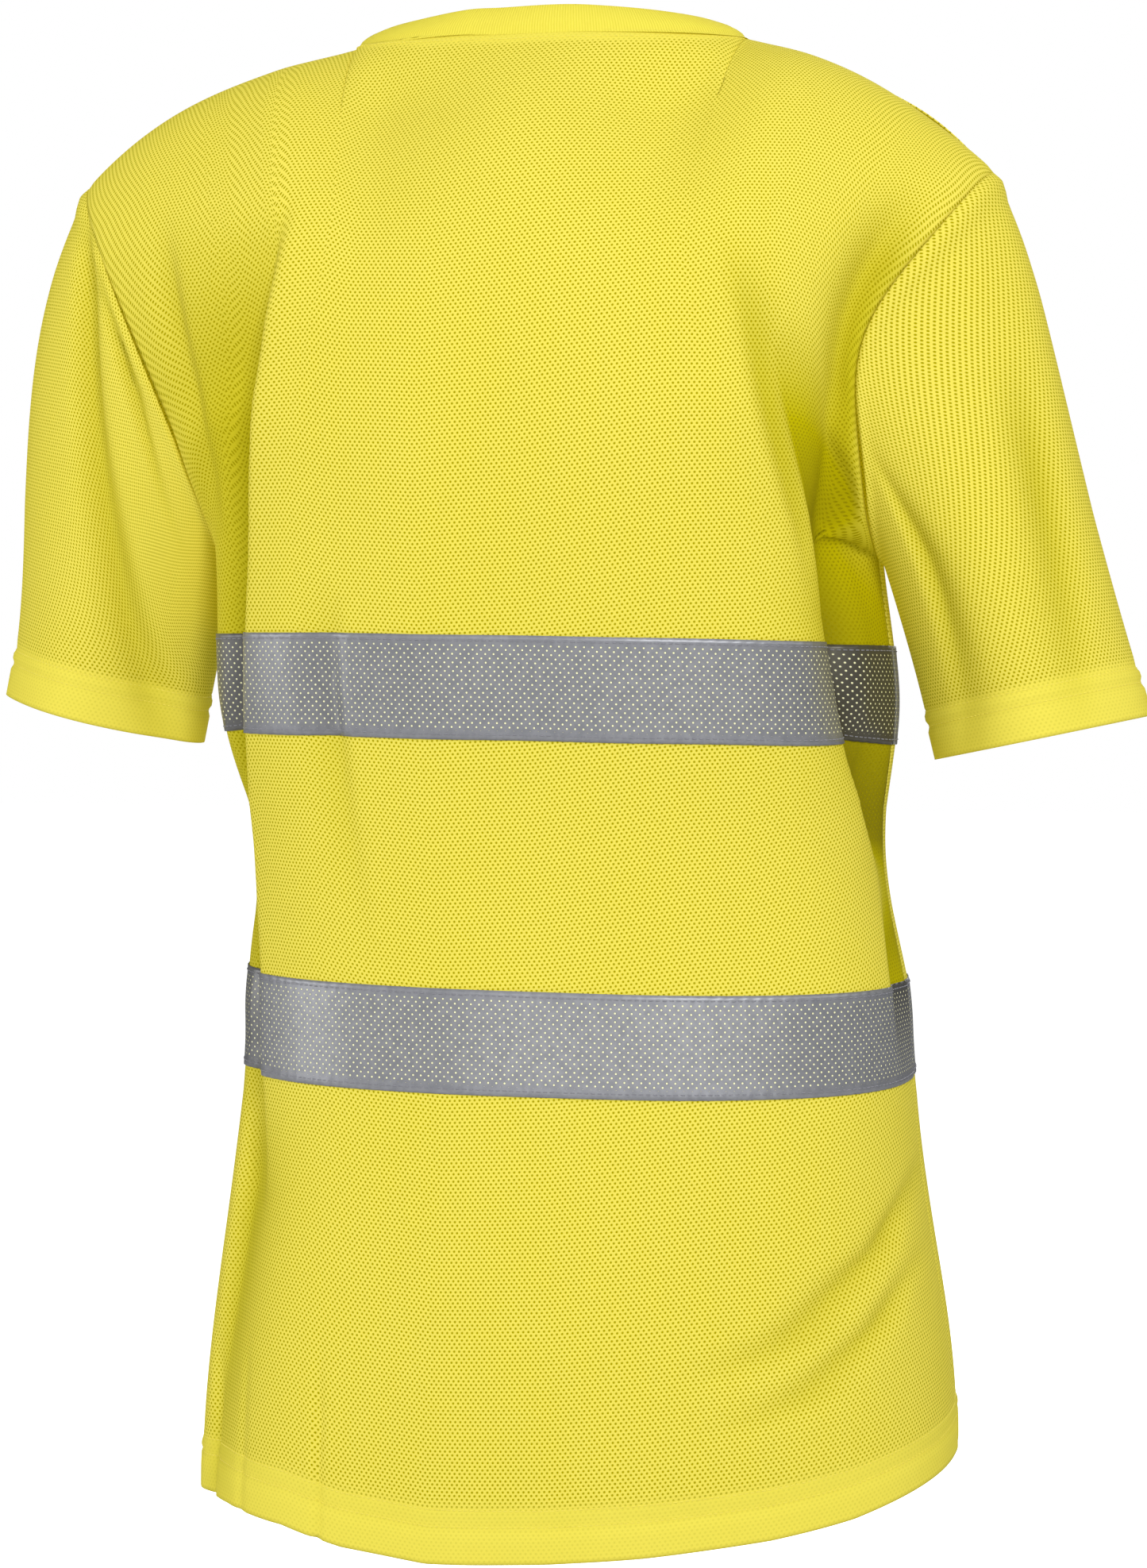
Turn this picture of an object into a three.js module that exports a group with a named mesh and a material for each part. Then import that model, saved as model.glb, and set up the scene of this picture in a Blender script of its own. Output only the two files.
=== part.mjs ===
// High-visibility short-sleeved T-shirt, in millimetres, +Z up.
// The front of the shirt faces -Y and the wearer's left is +X, so the back faces +Y.
// The origin lies midway between the two neck points, where the shoulder seams meet the collar.
//
// Each panel of cloth is a thin closed shell over a grid of points. Rows of the grid run round the
// body and columns run up it. Tapes, labels and rows of stitching stand on the same facets.

import * as THREE from "three";

// ---------------------------------------------------------------- driving dimensions

// Heights above the lower edge of the hem.
const NECK_POINT_HEIGHT = 735;
const SHOULDER_DROP = 69;
const ARMHOLE_DROP = 188;
const SHOULDER_TIP_HEIGHT = NECK_POINT_HEIGHT - SHOULDER_DROP;
const ARMPIT_HEIGHT = SHOULDER_TIP_HEIGHT - ARMHOLE_DROP;
const UPPER_TAPE_HEIGHT = 383;
const LOWER_TAPE_HEIGHT = 213;

// Half-widths across the body.
const NECK_HALF_WIDTH = 100;
const SHOULDER_HALF_WIDTH = 241;
const HEM_HALF_WIDTH = 195;
const LOWER_CHEST_HALF_WIDTH = 173;
const WAIST_HALF_WIDTH = 166;
const CHEST_HALF_WIDTH = 175;
const ARMPIT_HALF_WIDTH = 172;

// Half-depths of the body, from the side seams to the middle of the back or front.
const HEM_HALF_DEPTH = 140;
const WAIST_HALF_DEPTH = 116;
const CHEST_HALF_DEPTH = 122;

// How far the shoulders stand behind the hem.
const SHOULDER_SET_BACK = 20;

// The collar. The neck line drops below the neck points at the back and at the front.
const NECK_BACK_DEPTH = 50;
const NECK_FRONT_DEPTH = 78;
const NECK_BACK_DROP = 5;
const NECK_FRONT_DROP = 85;
const RIB_WIDTH = 16;
const RIB_ELEVATION = { back: 65, side: 20, front: 30 };
const NECK_STITCH_INSET = 4;
const NECK_STITCH_ROOM = 1.5;
const NECK_TAPE_WIDTH = 10;

// The sleeves.
const ARMHOLE_HALF_DEPTH = 60;
const CUFF_RADIUS = 55;
const CUFF_OUT = 245;
const CUFF_DROP = 278;
const CUFF_HEIGHT = SHOULDER_TIP_HEIGHT - CUFF_DROP;
const CUFF_SET_FORWARD = 8;
const CUFF_TILT = THREE.MathUtils.degToRad(13);
const SLEEVE_BULGE = 16;

// Cloth, tape and thread.
const CLOTH = 0.8;
const TAPE = 0.4;
const TAPE_WIDTH = 50;
const RIB = 1.6;
const THREAD = 0.7;
const HEM_DEPTH = 25;
const CUFF_DEPTH = 25;
const HEM_STITCH_PITCH = 7.7;
const TAPE_STITCH_INSET = 2.6;
const SEAM_ALLOWANCE = 6;
const OVERLOCK = 1;
const SHOULDER_SEAM_ROOM = 1.2;
const UNDERARM_SEAM_ROOM = 0.6;
const CLEARANCE = 0.4;

// The labels are blank strips of woven tape.
const LABEL = 0.4;
const SIZE_LABEL = { width: 12, length: 18 };
const CARE_LABEL = { width: 28, length: 45, height: 90 };

// How finely the surfaces are cut up.
const NECK_COLUMNS = 4;
const SHOULDER_COLUMNS = 6;
const HALF_COLUMNS = NECK_COLUMNS + SHOULDER_COLUMNS;
const ARMHOLE_ROWS = 10;
const SLEEVE_ROWS = 5;

// ---------------------------------------------------------------- materials

const FLUORESCENT = 0xf0e152;
const RIB_YELLOW = 0xf2e64c;
const SILVER = 0xa2a4ac;
const GREY_THREAD = 0x8e9094;
const WHITE = 0xf2f2ee;

const finish = (color, roughness, metalness = 0) => (
  new THREE.MeshStandardMaterial({ color, roughness, metalness })
);
const clothMaterial = () => finish(FLUORESCENT, 0.9);
const ribMaterial = () => finish(RIB_YELLOW, 0.9);
const tapeMaterial = () => finish(SILVER, 0.45, 0.5);
const greyThread = () => finish(GREY_THREAD, 0.7);
const yellowThread = () => finish(RIB_YELLOW, 0.7);
const labelMaterial = () => finish(WHITE, 0.8);

// ---------------------------------------------------------------- small helpers

const BACK = 1;
const FRONT = -1;
const LEFT = 1;
const RIGHT = -1;

const level = (height) => height - NECK_POINT_HEIGHT;
const mix = (a, b, t) => a + (b - a) * t;
const smooth = (t) => THREE.MathUtils.smoothstep(t, 0, 1);
const mixPoints = (a, b, t) => a.clone().lerp(b, t);
const point = (x, y, z) => new THREE.Vector3(x, y, z);

/** Steps smoothly from one section's value to the next up the body. */
function atHeight(sections, height) {
  let k = 0;
  while (k < sections.length - 2 && height > sections[k + 1][0]) {
    k += 1;
  }
  const [low, lowValue] = sections[k];
  const [high, highValue] = sections[k + 1];
  return mix(lowValue, highValue, smooth((height - low) / (high - low)));
}

// ---------------------------------------------------------------- the shape of the body

const TAPE_MIDDLE = TAPE_WIDTH / 2;
const WAIST_HEIGHT = mix(LOWER_TAPE_HEIGHT + TAPE_WIDTH, UPPER_TAPE_HEIGHT, 0.5);
const SECTION_POWER = 2.5;
const SHOULDER_ROUNDING = 3;

const HALF_WIDTHS = [
  [0, HEM_HALF_WIDTH],
  [LOWER_TAPE_HEIGHT + TAPE_MIDDLE, LOWER_CHEST_HALF_WIDTH],
  [WAIST_HEIGHT, WAIST_HALF_WIDTH],
  [UPPER_TAPE_HEIGHT + TAPE_MIDDLE, CHEST_HALF_WIDTH],
  [ARMPIT_HEIGHT, ARMPIT_HALF_WIDTH],
];
const HALF_DEPTHS = [
  [0, HEM_HALF_DEPTH],
  [WAIST_HEIGHT, WAIST_HALF_DEPTH],
  [ARMPIT_HEIGHT, CHEST_HALF_DEPTH],
];
const SET_BACKS = [
  [0, 0],
  [WAIST_HEIGHT, 0],
  [SHOULDER_TIP_HEIGHT, SHOULDER_SET_BACK],
];

/** The x of a column where it meets the collar or the shoulder seam. */
function topX(column) {
  if (column <= NECK_COLUMNS) {
    return NECK_HALF_WIDTH * Math.sin(((Math.PI / 2) * column) / NECK_COLUMNS);
  }
  return mix(NECK_HALF_WIDTH, SHOULDER_HALF_WIDTH, (column - NECK_COLUMNS) / SHOULDER_COLUMNS);
}

/** Where a column ends at the top: on the collar seam or on the shoulder seam. */
function topOf(side, column) {
  const x = topX(column);
  if (column <= NECK_COLUMNS) {
    const depth = side === BACK ? NECK_BACK_DEPTH : NECK_FRONT_DEPTH;
    const drop = side === BACK ? NECK_BACK_DROP : NECK_FRONT_DROP;
    const round = Math.cos(((Math.PI / 2) * column) / NECK_COLUMNS);
    return point(x, side * depth * round, NECK_POINT_HEIGHT - drop * round);
  }
  const t = (column - NECK_COLUMNS) / SHOULDER_COLUMNS;
  return point(x, 0, NECK_POINT_HEIGHT - SHOULDER_DROP * (t + t ** 3) / 2);
}

/** A point of one panel below the armpits. Columns count outwards from the middle. */
function lowerPoint(side, column, height) {
  const angle = (Math.PI / 2) * (column / HALF_COLUMNS);
  const x = atHeight(HALF_WIDTHS, height) * Math.sin(angle) ** (2 / SECTION_POWER);
  const y = atHeight(HALF_DEPTHS, height) * Math.abs(Math.cos(angle)) ** (2 / SECTION_POWER);
  const middle = column === HALF_COLUMNS ? 0 : y;
  return point(x, side * middle, height);
}

/** A point of one panel above the armpits, a share s of the way up its column. */
function upperPoint(side, column, s) {
  const top = topOf(side, column);
  const angle = (Math.PI / 2) * (column / HALF_COLUMNS);
  const low = Math.sin(angle) ** (2 / SECTION_POWER);
  const high = topX(column) / SHOULDER_HALF_WIDTH;
  const across = mix(low, high, smooth(s / 0.7));
  const halfWidth = mix(ARMPIT_HALF_WIDTH, SHOULDER_HALF_WIDTH, s ** 1.6);
  const flatness = mix(SECTION_POWER, 1, smooth(s / 0.4));
  const crown = Math.max(0, 1 - across ** SECTION_POWER) ** (1 / flatness);
  const onNeck = 1 - smooth((column - NECK_COLUMNS + 1) / 2);
  const rounding = mix(0.5, 1, onNeck);
  const plateau = mix(top.y, side * CHEST_HALF_DEPTH, (1 - s ** SHOULDER_ROUNDING) ** rounding);
  const armhole = side * 2 * ARMHOLE_HALF_DEPTH * Math.sqrt(s * (1 - s));
  const z = mix(ARMPIT_HEIGHT, top.z, s);
  const y = s === 1 ? top.y : mix(armhole, plateau, crown);
  return point(halfWidth * across, y, z);
}

const LOWER_HEIGHTS = [
  0,
  HEM_DEPTH - HEM_STITCH_PITCH,
  HEM_DEPTH,
  mix(HEM_DEPTH, LOWER_TAPE_HEIGHT, 1 / 3),
  mix(HEM_DEPTH, LOWER_TAPE_HEIGHT, 2 / 3),
  LOWER_TAPE_HEIGHT,
  LOWER_TAPE_HEIGHT + TAPE_WIDTH,
  WAIST_HEIGHT,
  UPPER_TAPE_HEIGHT,
  UPPER_TAPE_HEIGHT + TAPE_WIDTH,
  ARMPIT_HEIGHT,
];

/** Shares up the armhole, closer together at the armpit and at the shoulder. */
const UPPER_SHARES = Array.from({ length: ARMHOLE_ROWS }, (_, k) => (
  (1 - Math.cos((Math.PI * (k + 1)) / ARMHOLE_ROWS)) / 2
));

/** Moves a point to the body's own place: set back at its height, and half a seam from the middle. */
function placed(p, side) {
  const setBack = atHeight(SET_BACKS, Math.min(p.z, SHOULDER_TIP_HEIGHT));
  return point(p.x, p.y + setBack + (side * CLEARANCE) / 2, level(p.z));
}

/** Signed columns of a panel, in the order that makes its normals point outwards. */
function columnsOf(side) {
  const columns = [];
  for (let column = HALF_COLUMNS; column >= -HALF_COLUMNS; column -= 1) {
    columns.push(column * side);
  }
  return columns;
}

/** The panel's grid of points, with the height of each row. */
function panelGrid(side) {
  const mirrored = (p, column) => point(column < 0 ? -p.x : p.x, p.y, p.z);
  const rowOf = (place) => columnsOf(side).map((column) => (
    placed(mirrored(place(Math.abs(column)), column), side)
  ));
  const lower = LOWER_HEIGHTS.map((height) => rowOf((column) => lowerPoint(side, column, height)));
  const upper = UPPER_SHARES.map((s) => rowOf((column) => upperPoint(side, column, s)));
  const upperHeights = UPPER_SHARES.map((s) => mix(ARMPIT_HEIGHT, SHOULDER_TIP_HEIGHT, s));
  return withNormals([...lower, ...upper], [...LOWER_HEIGHTS, ...upperHeights], false);
}

// ---------------------------------------------------------------- shells over grids

/** Adds the outward normal of every point. A ring's columns close on themselves. */
function withNormals(rows, heights, ring) {
  const last = rows.length - 1;
  const normals = rows.map((row, j) => row.map((p, i) => {
    const count = row.length;
    const before = ring ? row[(i + count - 1) % count] : row[Math.max(i - 1, 0)];
    const after = ring ? row[(i + 1) % count] : row[Math.min(i + 1, count - 1)];
    const along = after.clone().sub(before);
    const up = rows[Math.min(j + 1, last)][i].clone().sub(rows[Math.max(j - 1, 0)][i]);
    return along.cross(up).normalize();
  }));
  return { rows, normals, heights, ring };
}

/** The grid's points and normals at one height, part-way between two of its rows. */
function rowAt(grid, height) {
  let k = 0;
  while (k < grid.heights.length - 2 && height > grid.heights[k + 1]) {
    k += 1;
  }
  const t = (height - grid.heights[k]) / (grid.heights[k + 1] - grid.heights[k]);
  return {
    points: grid.rows[k].map((p, i) => mixPoints(p, grid.rows[k + 1][i], t)),
    normals: grid.normals[k].map((n, i) => mixPoints(n, grid.normals[k + 1][i], t).normalize()),
  };
}

/** Gathers rows of points and normals into a grid. */
function gridOf(cut, ring) {
  return { rows: cut.map((r) => r.points), normals: cut.map((r) => r.normals), ring };
}

/** The part of a grid that lies between two heights. */
function bandOf(grid, low, high) {
  const within = grid.heights.filter((height) => height > low && height < high);
  const heights = [low, ...within, high];
  const cut = heights.map((height) => rowAt(grid, height));
  return { ...gridOf(cut, grid.ring), heights };
}

/** Joins two open grids end to end into a ring. */
function joined(a, b) {
  return {
    rows: a.rows.map((row, j) => [...row, ...b.rows[j]]),
    normals: a.normals.map((row, j) => [...row, ...b.normals[j]]),
    heights: a.heights,
    ring: true,
  };
}

/** A closed shell over a grid. Its two faces stand `inner` and `outer` from the grid's points. */
function shell(grid, inner, outer) {
  const rows = grid.rows.length;
  const columns = grid.rows[0].length;
  const positions = [];
  for (const offset of [outer, inner]) {
    grid.rows.forEach((row, j) => row.forEach((p, i) => {
      const moved = p.clone().addScaledVector(grid.normals[j][i], offset);
      positions.push(moved.x, moved.y, moved.z);
    }));
  }
  const out = (j, i) => j * columns + (i % columns);
  const inside = (j, i) => rows * columns + out(j, i);
  const triangles = [];
  const quad = (a, b, c, d) => triangles.push(a, b, c, a, c, d);
  const spans = grid.ring ? columns : columns - 1;
  for (let i = 0; i < spans; i += 1) {
    for (let j = 0; j < rows - 1; j += 1) {
      quad(out(j, i), out(j, i + 1), out(j + 1, i + 1), out(j + 1, i));
      quad(inside(j, i), inside(j + 1, i), inside(j + 1, i + 1), inside(j, i + 1));
    }
    quad(inside(0, i), inside(0, i + 1), out(0, i + 1), out(0, i));
    quad(inside(rows - 1, i + 1), inside(rows - 1, i), out(rows - 1, i), out(rows - 1, i + 1));
  }
  if (!grid.ring) {
    for (let j = 0; j < rows - 1; j += 1) {
      quad(inside(j + 1, 0), inside(j, 0), out(j, 0), out(j + 1, 0));
      quad(inside(j, spans), inside(j + 1, spans), out(j + 1, spans), out(j, spans));
    }
  }
  const geometry = new THREE.BufferGeometry();
  geometry.setAttribute("position", new THREE.Float32BufferAttribute(positions, 3));
  geometry.setIndex(triangles);
  geometry.computeVertexNormals();
  return geometry;
}

// Distances from the middle of the cloth to the faces of what lies on it or under it.
const FACE = CLOTH / 2;
const ON_CLOTH = FACE + CLEARANCE;
const ON_TAPE = ON_CLOTH + TAPE + CLEARANCE;
const UNDER_CLOTH = -(FACE + CLEARANCE);

const clothShell = (grid) => shell(grid, -FACE, FACE);
const tapeShell = (grid) => shell(grid, ON_CLOTH, ON_CLOTH + TAPE);
const threadOn = (grid, height, base) => (
  shell(bandOf(grid, height - THREAD / 2, height + THREAD / 2), base, base + THREAD)
);

const shirt = new THREE.Group();

function addPiece(group, name, geometry, material) {
  const mesh = new THREE.Mesh(geometry, material);
  mesh.name = name;
  group.add(mesh);
}

// ---------------------------------------------------------------- panels, tapes and hem

const backGrid = panelGrid(BACK);
const frontGrid = panelGrid(FRONT);
const bodyRing = (low, high) => joined(bandOf(backGrid, low, high), bandOf(frontGrid, low, high));

function addPanels() {
  addPiece(shirt, "back_panel", clothShell(backGrid), clothMaterial());
  addPiece(shirt, "front_panel", clothShell(frontGrid), clothMaterial());
}

/** One length of reflective tape, sewn down along both edges. */
function addTape(name, grid, low) {
  const high = low + TAPE_WIDTH;
  addPiece(shirt, name, tapeShell(bandOf(grid, low, high)), tapeMaterial());
  addPiece(shirt, `${name}_stitch_top`, threadOn(grid, high - TAPE_STITCH_INSET, ON_TAPE), greyThread());
  addPiece(shirt, `${name}_stitch_bottom`, threadOn(grid, low + TAPE_STITCH_INSET, ON_TAPE), greyThread());
}

function addTapes() {
  addTape("upper_tape_back", backGrid, UPPER_TAPE_HEIGHT);
  addTape("upper_tape_front", frontGrid, UPPER_TAPE_HEIGHT);
  addTape("lower_tape_back", backGrid, LOWER_TAPE_HEIGHT);
  addTape("lower_tape_front", frontGrid, LOWER_TAPE_HEIGHT);
}

/** The two needle lines of the hem's cover stitch. */
function addHemStitch() {
  const needleLines = { hem_stitch_upper: HEM_DEPTH, hem_stitch_lower: HEM_DEPTH - HEM_STITCH_PITCH };
  for (const [name, height] of Object.entries(needleLines)) {
    const ring = bodyRing(height - THREAD / 2, height + THREAD / 2);
    addPiece(shirt, name, shell(ring, ON_CLOTH, ON_CLOTH + THREAD), yellowThread());
  }
}

// ---------------------------------------------------------------- overlocked seams inside the body

/** A flat ribbon along a route. It spreads to both sides along `spread`, and starts `room` inside. */
function ribbon(route, spread, inwards, room, ring) {
  const along = route[1].clone().sub(route[0]);
  const facing = along.cross(spread).dot(inwards[0]) > 0 ? 1 : -1;
  const half = spread.clone().multiplyScalar((facing * SEAM_ALLOWANCE) / 2);
  const rows = [route.map((p) => p.clone().sub(half)), route.map((p) => p.clone().add(half))];
  const normals = [inwards, inwards];
  return shell({ rows, normals, ring }, room, room + OVERLOCK);
}

/** The side seam runs from above the hem's stitching to below the armpit. */
function addSideSeam(name, hand) {
  const edge = hand === LEFT ? 0 : 2 * HALF_COLUMNS;
  const heights = LOWER_HEIGHTS.slice(LOWER_HEIGHTS.indexOf(HEM_DEPTH), -1);
  const route = heights.map((height) => rowAt(backGrid, height).points[edge]);
  route.forEach((p) => { p.y -= CLEARANCE / 2; });
  const inwards = route.map(() => point(-hand, 0, 0));
  addPiece(shirt, name, ribbon(route, point(0, 1, 0), inwards, FACE + CLEARANCE, false), yellowThread());
}

/** The shoulder seam runs along the ridge from the collar to the sleeve. */
function addShoulderSeam(name, hand) {
  const top = backGrid.rows.length - 1;
  const columns = columnsOf(BACK).map((column, i) => ({ column: column * hand, i }));
  const route = columns
    .filter(({ column }) => column > NECK_COLUMNS && column < HALF_COLUMNS)
    .map(({ i }) => backGrid.rows[top][i].clone().sub(point(0, CLEARANCE / 2, 0)));
  const inwards = route.map((_, i) => {
    const along = route[Math.min(i + 1, route.length - 1)].clone().sub(route[Math.max(i - 1, 0)]);
    const square = along.cross(point(0, 1, 0)).normalize();
    return square.z > 0 ? square.negate() : square;
  });
  const room = FACE + CLEARANCE + SHOULDER_SEAM_ROOM;
  addPiece(shirt, name, ribbon(route, point(0, 1, 0), inwards, room, false), yellowThread());
}

// ---------------------------------------------------------------- collar

/** Points along one panel's collar edge, a distance below it, with the panel's normals. */
function belowCollar(grid, distance) {
  const top = grid.rows.length - 1;
  const middle = HALF_COLUMNS;
  const points = [];
  const normals = [];
  for (let i = middle - NECK_COLUMNS; i <= middle + NECK_COLUMNS; i += 1) {
    const edge = grid.rows[top][i];
    let left = distance;
    let j = top;
    while (left > edgeLength(grid, j, i)) {
      left -= edgeLength(grid, j, i);
      j -= 1;
    }
    const t = left / edgeLength(grid, j, i);
    points.push(distance === 0 ? edge.clone() : mixPoints(grid.rows[j][i], grid.rows[j - 1][i], t));
    normals.push(mixPoints(grid.normals[j][i], grid.normals[j - 1][i], t).normalize());
  }
  return { points, normals };
}

const edgeLength = (grid, j, i) => grid.rows[j][i].distanceTo(grid.rows[j - 1][i]);

/** The point a distance along a shoulder seam from the collar, with the normal between the panels. */
function onShoulder(hand, distance) {
  const top = backGrid.rows.length - 1;
  const columnOf = (side) => HALF_COLUMNS - hand * side * NECK_COLUMNS;
  const neck = backGrid.rows[top][columnOf(BACK)];
  const next = backGrid.rows[top][columnOf(BACK) - hand];
  const p = mixPoints(neck, next, distance / neck.distanceTo(next));
  const onFront = frontGrid.normals[top][columnOf(FRONT)];
  const normal = mixPoints(backGrid.normals[top][columnOf(BACK)], onFront, 0.5).normalize();
  return { points: [p.sub(point(0, CLEARANCE / 2, 0))], normals: [normal] };
}

/** The collar seam as a closed ring of points. The two panels share each neck point. */
function collarSeam() {
  return [...belowCollar(backGrid, 0).points, ...belowCollar(frontGrid, 0).points.slice(1, -1)];
}

/** A closed ring a distance outside the collar seam. It crosses each shoulder seam on its ridge. */
function outsideCollar(distance) {
  const parts = [
    onShoulder(LEFT, distance),
    belowCollar(backGrid, distance),
    onShoulder(RIGHT, distance),
    belowCollar(frontGrid, distance),
  ];
  return { points: parts.flatMap((r) => r.points), normals: parts.flatMap((r) => r.normals) };
}

/** The direction in which the rib stands from the seam: steep behind, flatter at the sides and in front. */
function ribDirection(p) {
  const { back, side, front } = RIB_ELEVATION;
  const centre = point(0, SHOULDER_SET_BACK - (NECK_FRONT_DEPTH - NECK_BACK_DEPTH) / 2, 0);
  const towards = centre.sub(point(p.x, p.y, 0)).normalize();
  const behind = -towards.y;
  const degrees = behind > 0 ? mix(side, back, behind) : mix(side, front, -behind);
  const elevation = THREE.MathUtils.degToRad(degrees);
  return towards.multiplyScalar(Math.cos(elevation)).add(point(0, 0, Math.sin(elevation)));
}

function addRib() {
  const seam = collarSeam();
  const rise = (distance) => seam.map((p) => p.clone().addScaledVector(ribDirection(p), distance));
  const start = RIB / 2 + CLEARANCE;
  const rows = [start, RIB_WIDTH / 2, RIB_WIDTH].map(rise);
  addPiece(shirt, "neck_rib", shell(withNormals(rows, [0, 1, 2], true), -RIB / 2, RIB / 2), ribMaterial());
}

/** One row of stitching outside the collar seam. Its two edges lie square to the cloth. */
function addNeckStitch() {
  const { points, normals } = outsideCollar(NECK_STITCH_INSET);
  const count = points.length;
  const outwards = points.map((_, i) => {
    const along = points[(i + 1) % count].clone().sub(points[(i + count - 1) % count]);
    return along.cross(normals[i]).normalize();
  });
  const edge = (distance) => points.map((p, i) => p.clone().addScaledVector(outwards[i], distance));
  const grid = { rows: [edge(THREAD / 2), edge(-THREAD / 2)], normals: [normals, normals], ring: true };
  const base = ON_CLOTH + NECK_STITCH_ROOM;
  addPiece(shirt, "neck_topstitch", shell(grid, base, base + THREAD), yellowThread());
}

/** A tape inside the back of the neck covers the seam from shoulder to shoulder. */
function addNeckTape() {
  const rows = [NECK_TAPE_WIDTH, CLEARANCE].map((distance) => belowCollar(backGrid, distance));
  const trimmed = rows.map((r) => ({ points: r.points.slice(1, -1), normals: r.normals.slice(1, -1) }));
  const grid = gridOf(trimmed, false);
  addPiece(shirt, "neck_tape", shell(grid, UNDER_CLOTH - OVERLOCK, UNDER_CLOTH), clothMaterial());
}

// ---------------------------------------------------------------- labels

/** The size label hangs straight down from the lower edge of the neck tape. */
function addSizeLabel() {
  const { width, length } = SIZE_LABEL;
  const hung = belowCollar(backGrid, NECK_TAPE_WIDTH).points[NECK_COLUMNS];
  const depth = FACE + CLEARANCE + OVERLOCK;
  const drop = 2 * CLEARANCE + OVERLOCK;
  const geometry = new THREE.BoxGeometry(width, LABEL, length);
  geometry.translate(hung.x, hung.y - depth, hung.z - drop - length / 2);
  addPiece(shirt, "size_label", geometry, labelMaterial());
}

/** The care label stands out from the left side seam, inside the front of the shirt. */
function addCareLabel() {
  const { width, length, height } = CARE_LABEL;
  const seam = rowAt(backGrid, height + length).points[0];
  const outer = seam.x - FACE - CLEARANCE - OVERLOCK - 2 * CLEARANCE;
  const geometry = new THREE.BoxGeometry(width, LABEL, length);
  geometry.translate(outer - width / 2, seam.y, level(height + length / 2));
  addPiece(shirt, "care_label", geometry, labelMaterial());
}

// ---------------------------------------------------------------- sleeves

/** The armhole as a ring: from the armpit up the back to the shoulder, then down the front. */
function armholeRing(hand) {
  const first = LOWER_HEIGHTS.length - 1;
  const last = first + ARMHOLE_ROWS;
  const edgeOf = (grid, outer) => grid.rows.slice(first, last + 1).map((row) => row[outer]);
  const backEdge = edgeOf(backGrid, hand === LEFT ? 0 : 2 * HALF_COLUMNS);
  const frontEdge = edgeOf(frontGrid, hand === LEFT ? 2 * HALF_COLUMNS : 0);
  const middle = (a, b) => mixPoints(a, b, 0.5);
  return [
    middle(backEdge[0], frontEdge[0]),
    ...backEdge.slice(1, -1),
    middle(backEdge[ARMHOLE_ROWS], frontEdge[ARMHOLE_ROWS]),
    ...frontEdge.slice(1, -1).reverse(),
  ];
}

/** A ring round the sleeve's own axis, a distance up from the cuff's edge. */
function cuffRing(hand, up) {
  const outwards = point(hand * Math.cos(CUFF_TILT), 0, Math.sin(CUFF_TILT));
  const upwards = point(-hand * Math.sin(CUFF_TILT), 0, Math.cos(CUFF_TILT));
  const centre = point(hand * CUFF_OUT, -CUFF_SET_FORWARD, level(CUFF_HEIGHT)).addScaledVector(upwards, up);
  const count = 2 * ARMHOLE_ROWS;
  return Array.from({ length: count }, (_, k) => {
    const angle = (2 * Math.PI * k) / count;
    const p = centre.clone().addScaledVector(outwards, -CUFF_RADIUS * Math.cos(angle));
    return p.addScaledVector(point(0, 1, 0), CUFF_RADIUS * Math.sin(angle));
  });
}

/** The sleeve's rings, from the cuff up to the armhole. Above the cuff the rows are only numbered. */
function sleeveGrid(hand) {
  const armhole = armholeRing(hand);
  const sewn = armhole.map((p) => p.clone().add(point(hand * (CLOTH + 2 * CLEARANCE), 0, 0)));
  const cuffTop = cuffRing(hand, CUFF_DEPTH);
  const lofted = (t) => sewn.map((p, k) => {
    const outerShare = (1 - Math.cos((Math.PI * k) / ARMHOLE_ROWS)) / 2;
    const bulge = 4 * t * (1 - t) * (1 - t) * SLEEVE_BULGE * outerShare;
    const straight = mixPoints(p, cuffTop[k], t);
    return straight.add(point(hand * bulge, 0, bulge / 2));
  });
  const shares = Array.from({ length: SLEEVE_ROWS + 1 }, (_, k) => 1 - k / (SLEEVE_ROWS + 1));
  const cuff = [0, CUFF_DEPTH - HEM_STITCH_PITCH];
  const rows = [...cuff.map((up) => cuffRing(hand, up)), ...shares.map(lofted), sewn];
  const outwardRows = hand === LEFT ? rows.map((row) => [...row].reverse()) : rows;
  const numbered = [...shares, 0].map((_, k) => CUFF_DEPTH + k);
  return withNormals(outwardRows, [...cuff, ...numbered], true);
}

/** The overlocked seam inside the sleeve, from the armpit to the cuff's stitching. */
function addUnderarmSeam(group, side, hand, grid) {
  const inner = hand === LEFT ? grid.rows[0].length - 1 : 0;
  const firstRow = grid.heights.indexOf(CUFF_DEPTH);
  const route = grid.rows.slice(firstRow, -1).map((row) => row[inner].clone());
  const inwards = route.map(() => point(hand * Math.cos(CUFF_TILT), 0, Math.sin(CUFF_TILT)));
  const room = FACE + CLEARANCE + UNDERARM_SEAM_ROOM;
  const geometry = ribbon(route, point(0, 1, 0), inwards, room, false);
  addPiece(group, `${side}_underarm_seam`, geometry, yellowThread());
}

function addSleeve(side, hand) {
  const group = new THREE.Group();
  const grid = sleeveGrid(hand);
  addPiece(group, `${side}_sleeve`, clothShell(grid), clothMaterial());
  const upperLine = CUFF_DEPTH - THREAD / 2;
  const needleLines = { upper: upperLine, lower: upperLine - HEM_STITCH_PITCH };
  for (const [which, height] of Object.entries(needleLines)) {
    const geometry = threadOn(grid, height, ON_CLOTH);
    addPiece(group, `${side}_cuff_stitch_${which}`, geometry, yellowThread());
  }
  addUnderarmSeam(group, side, hand, grid);
  shirt.add(group);
}

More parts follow.
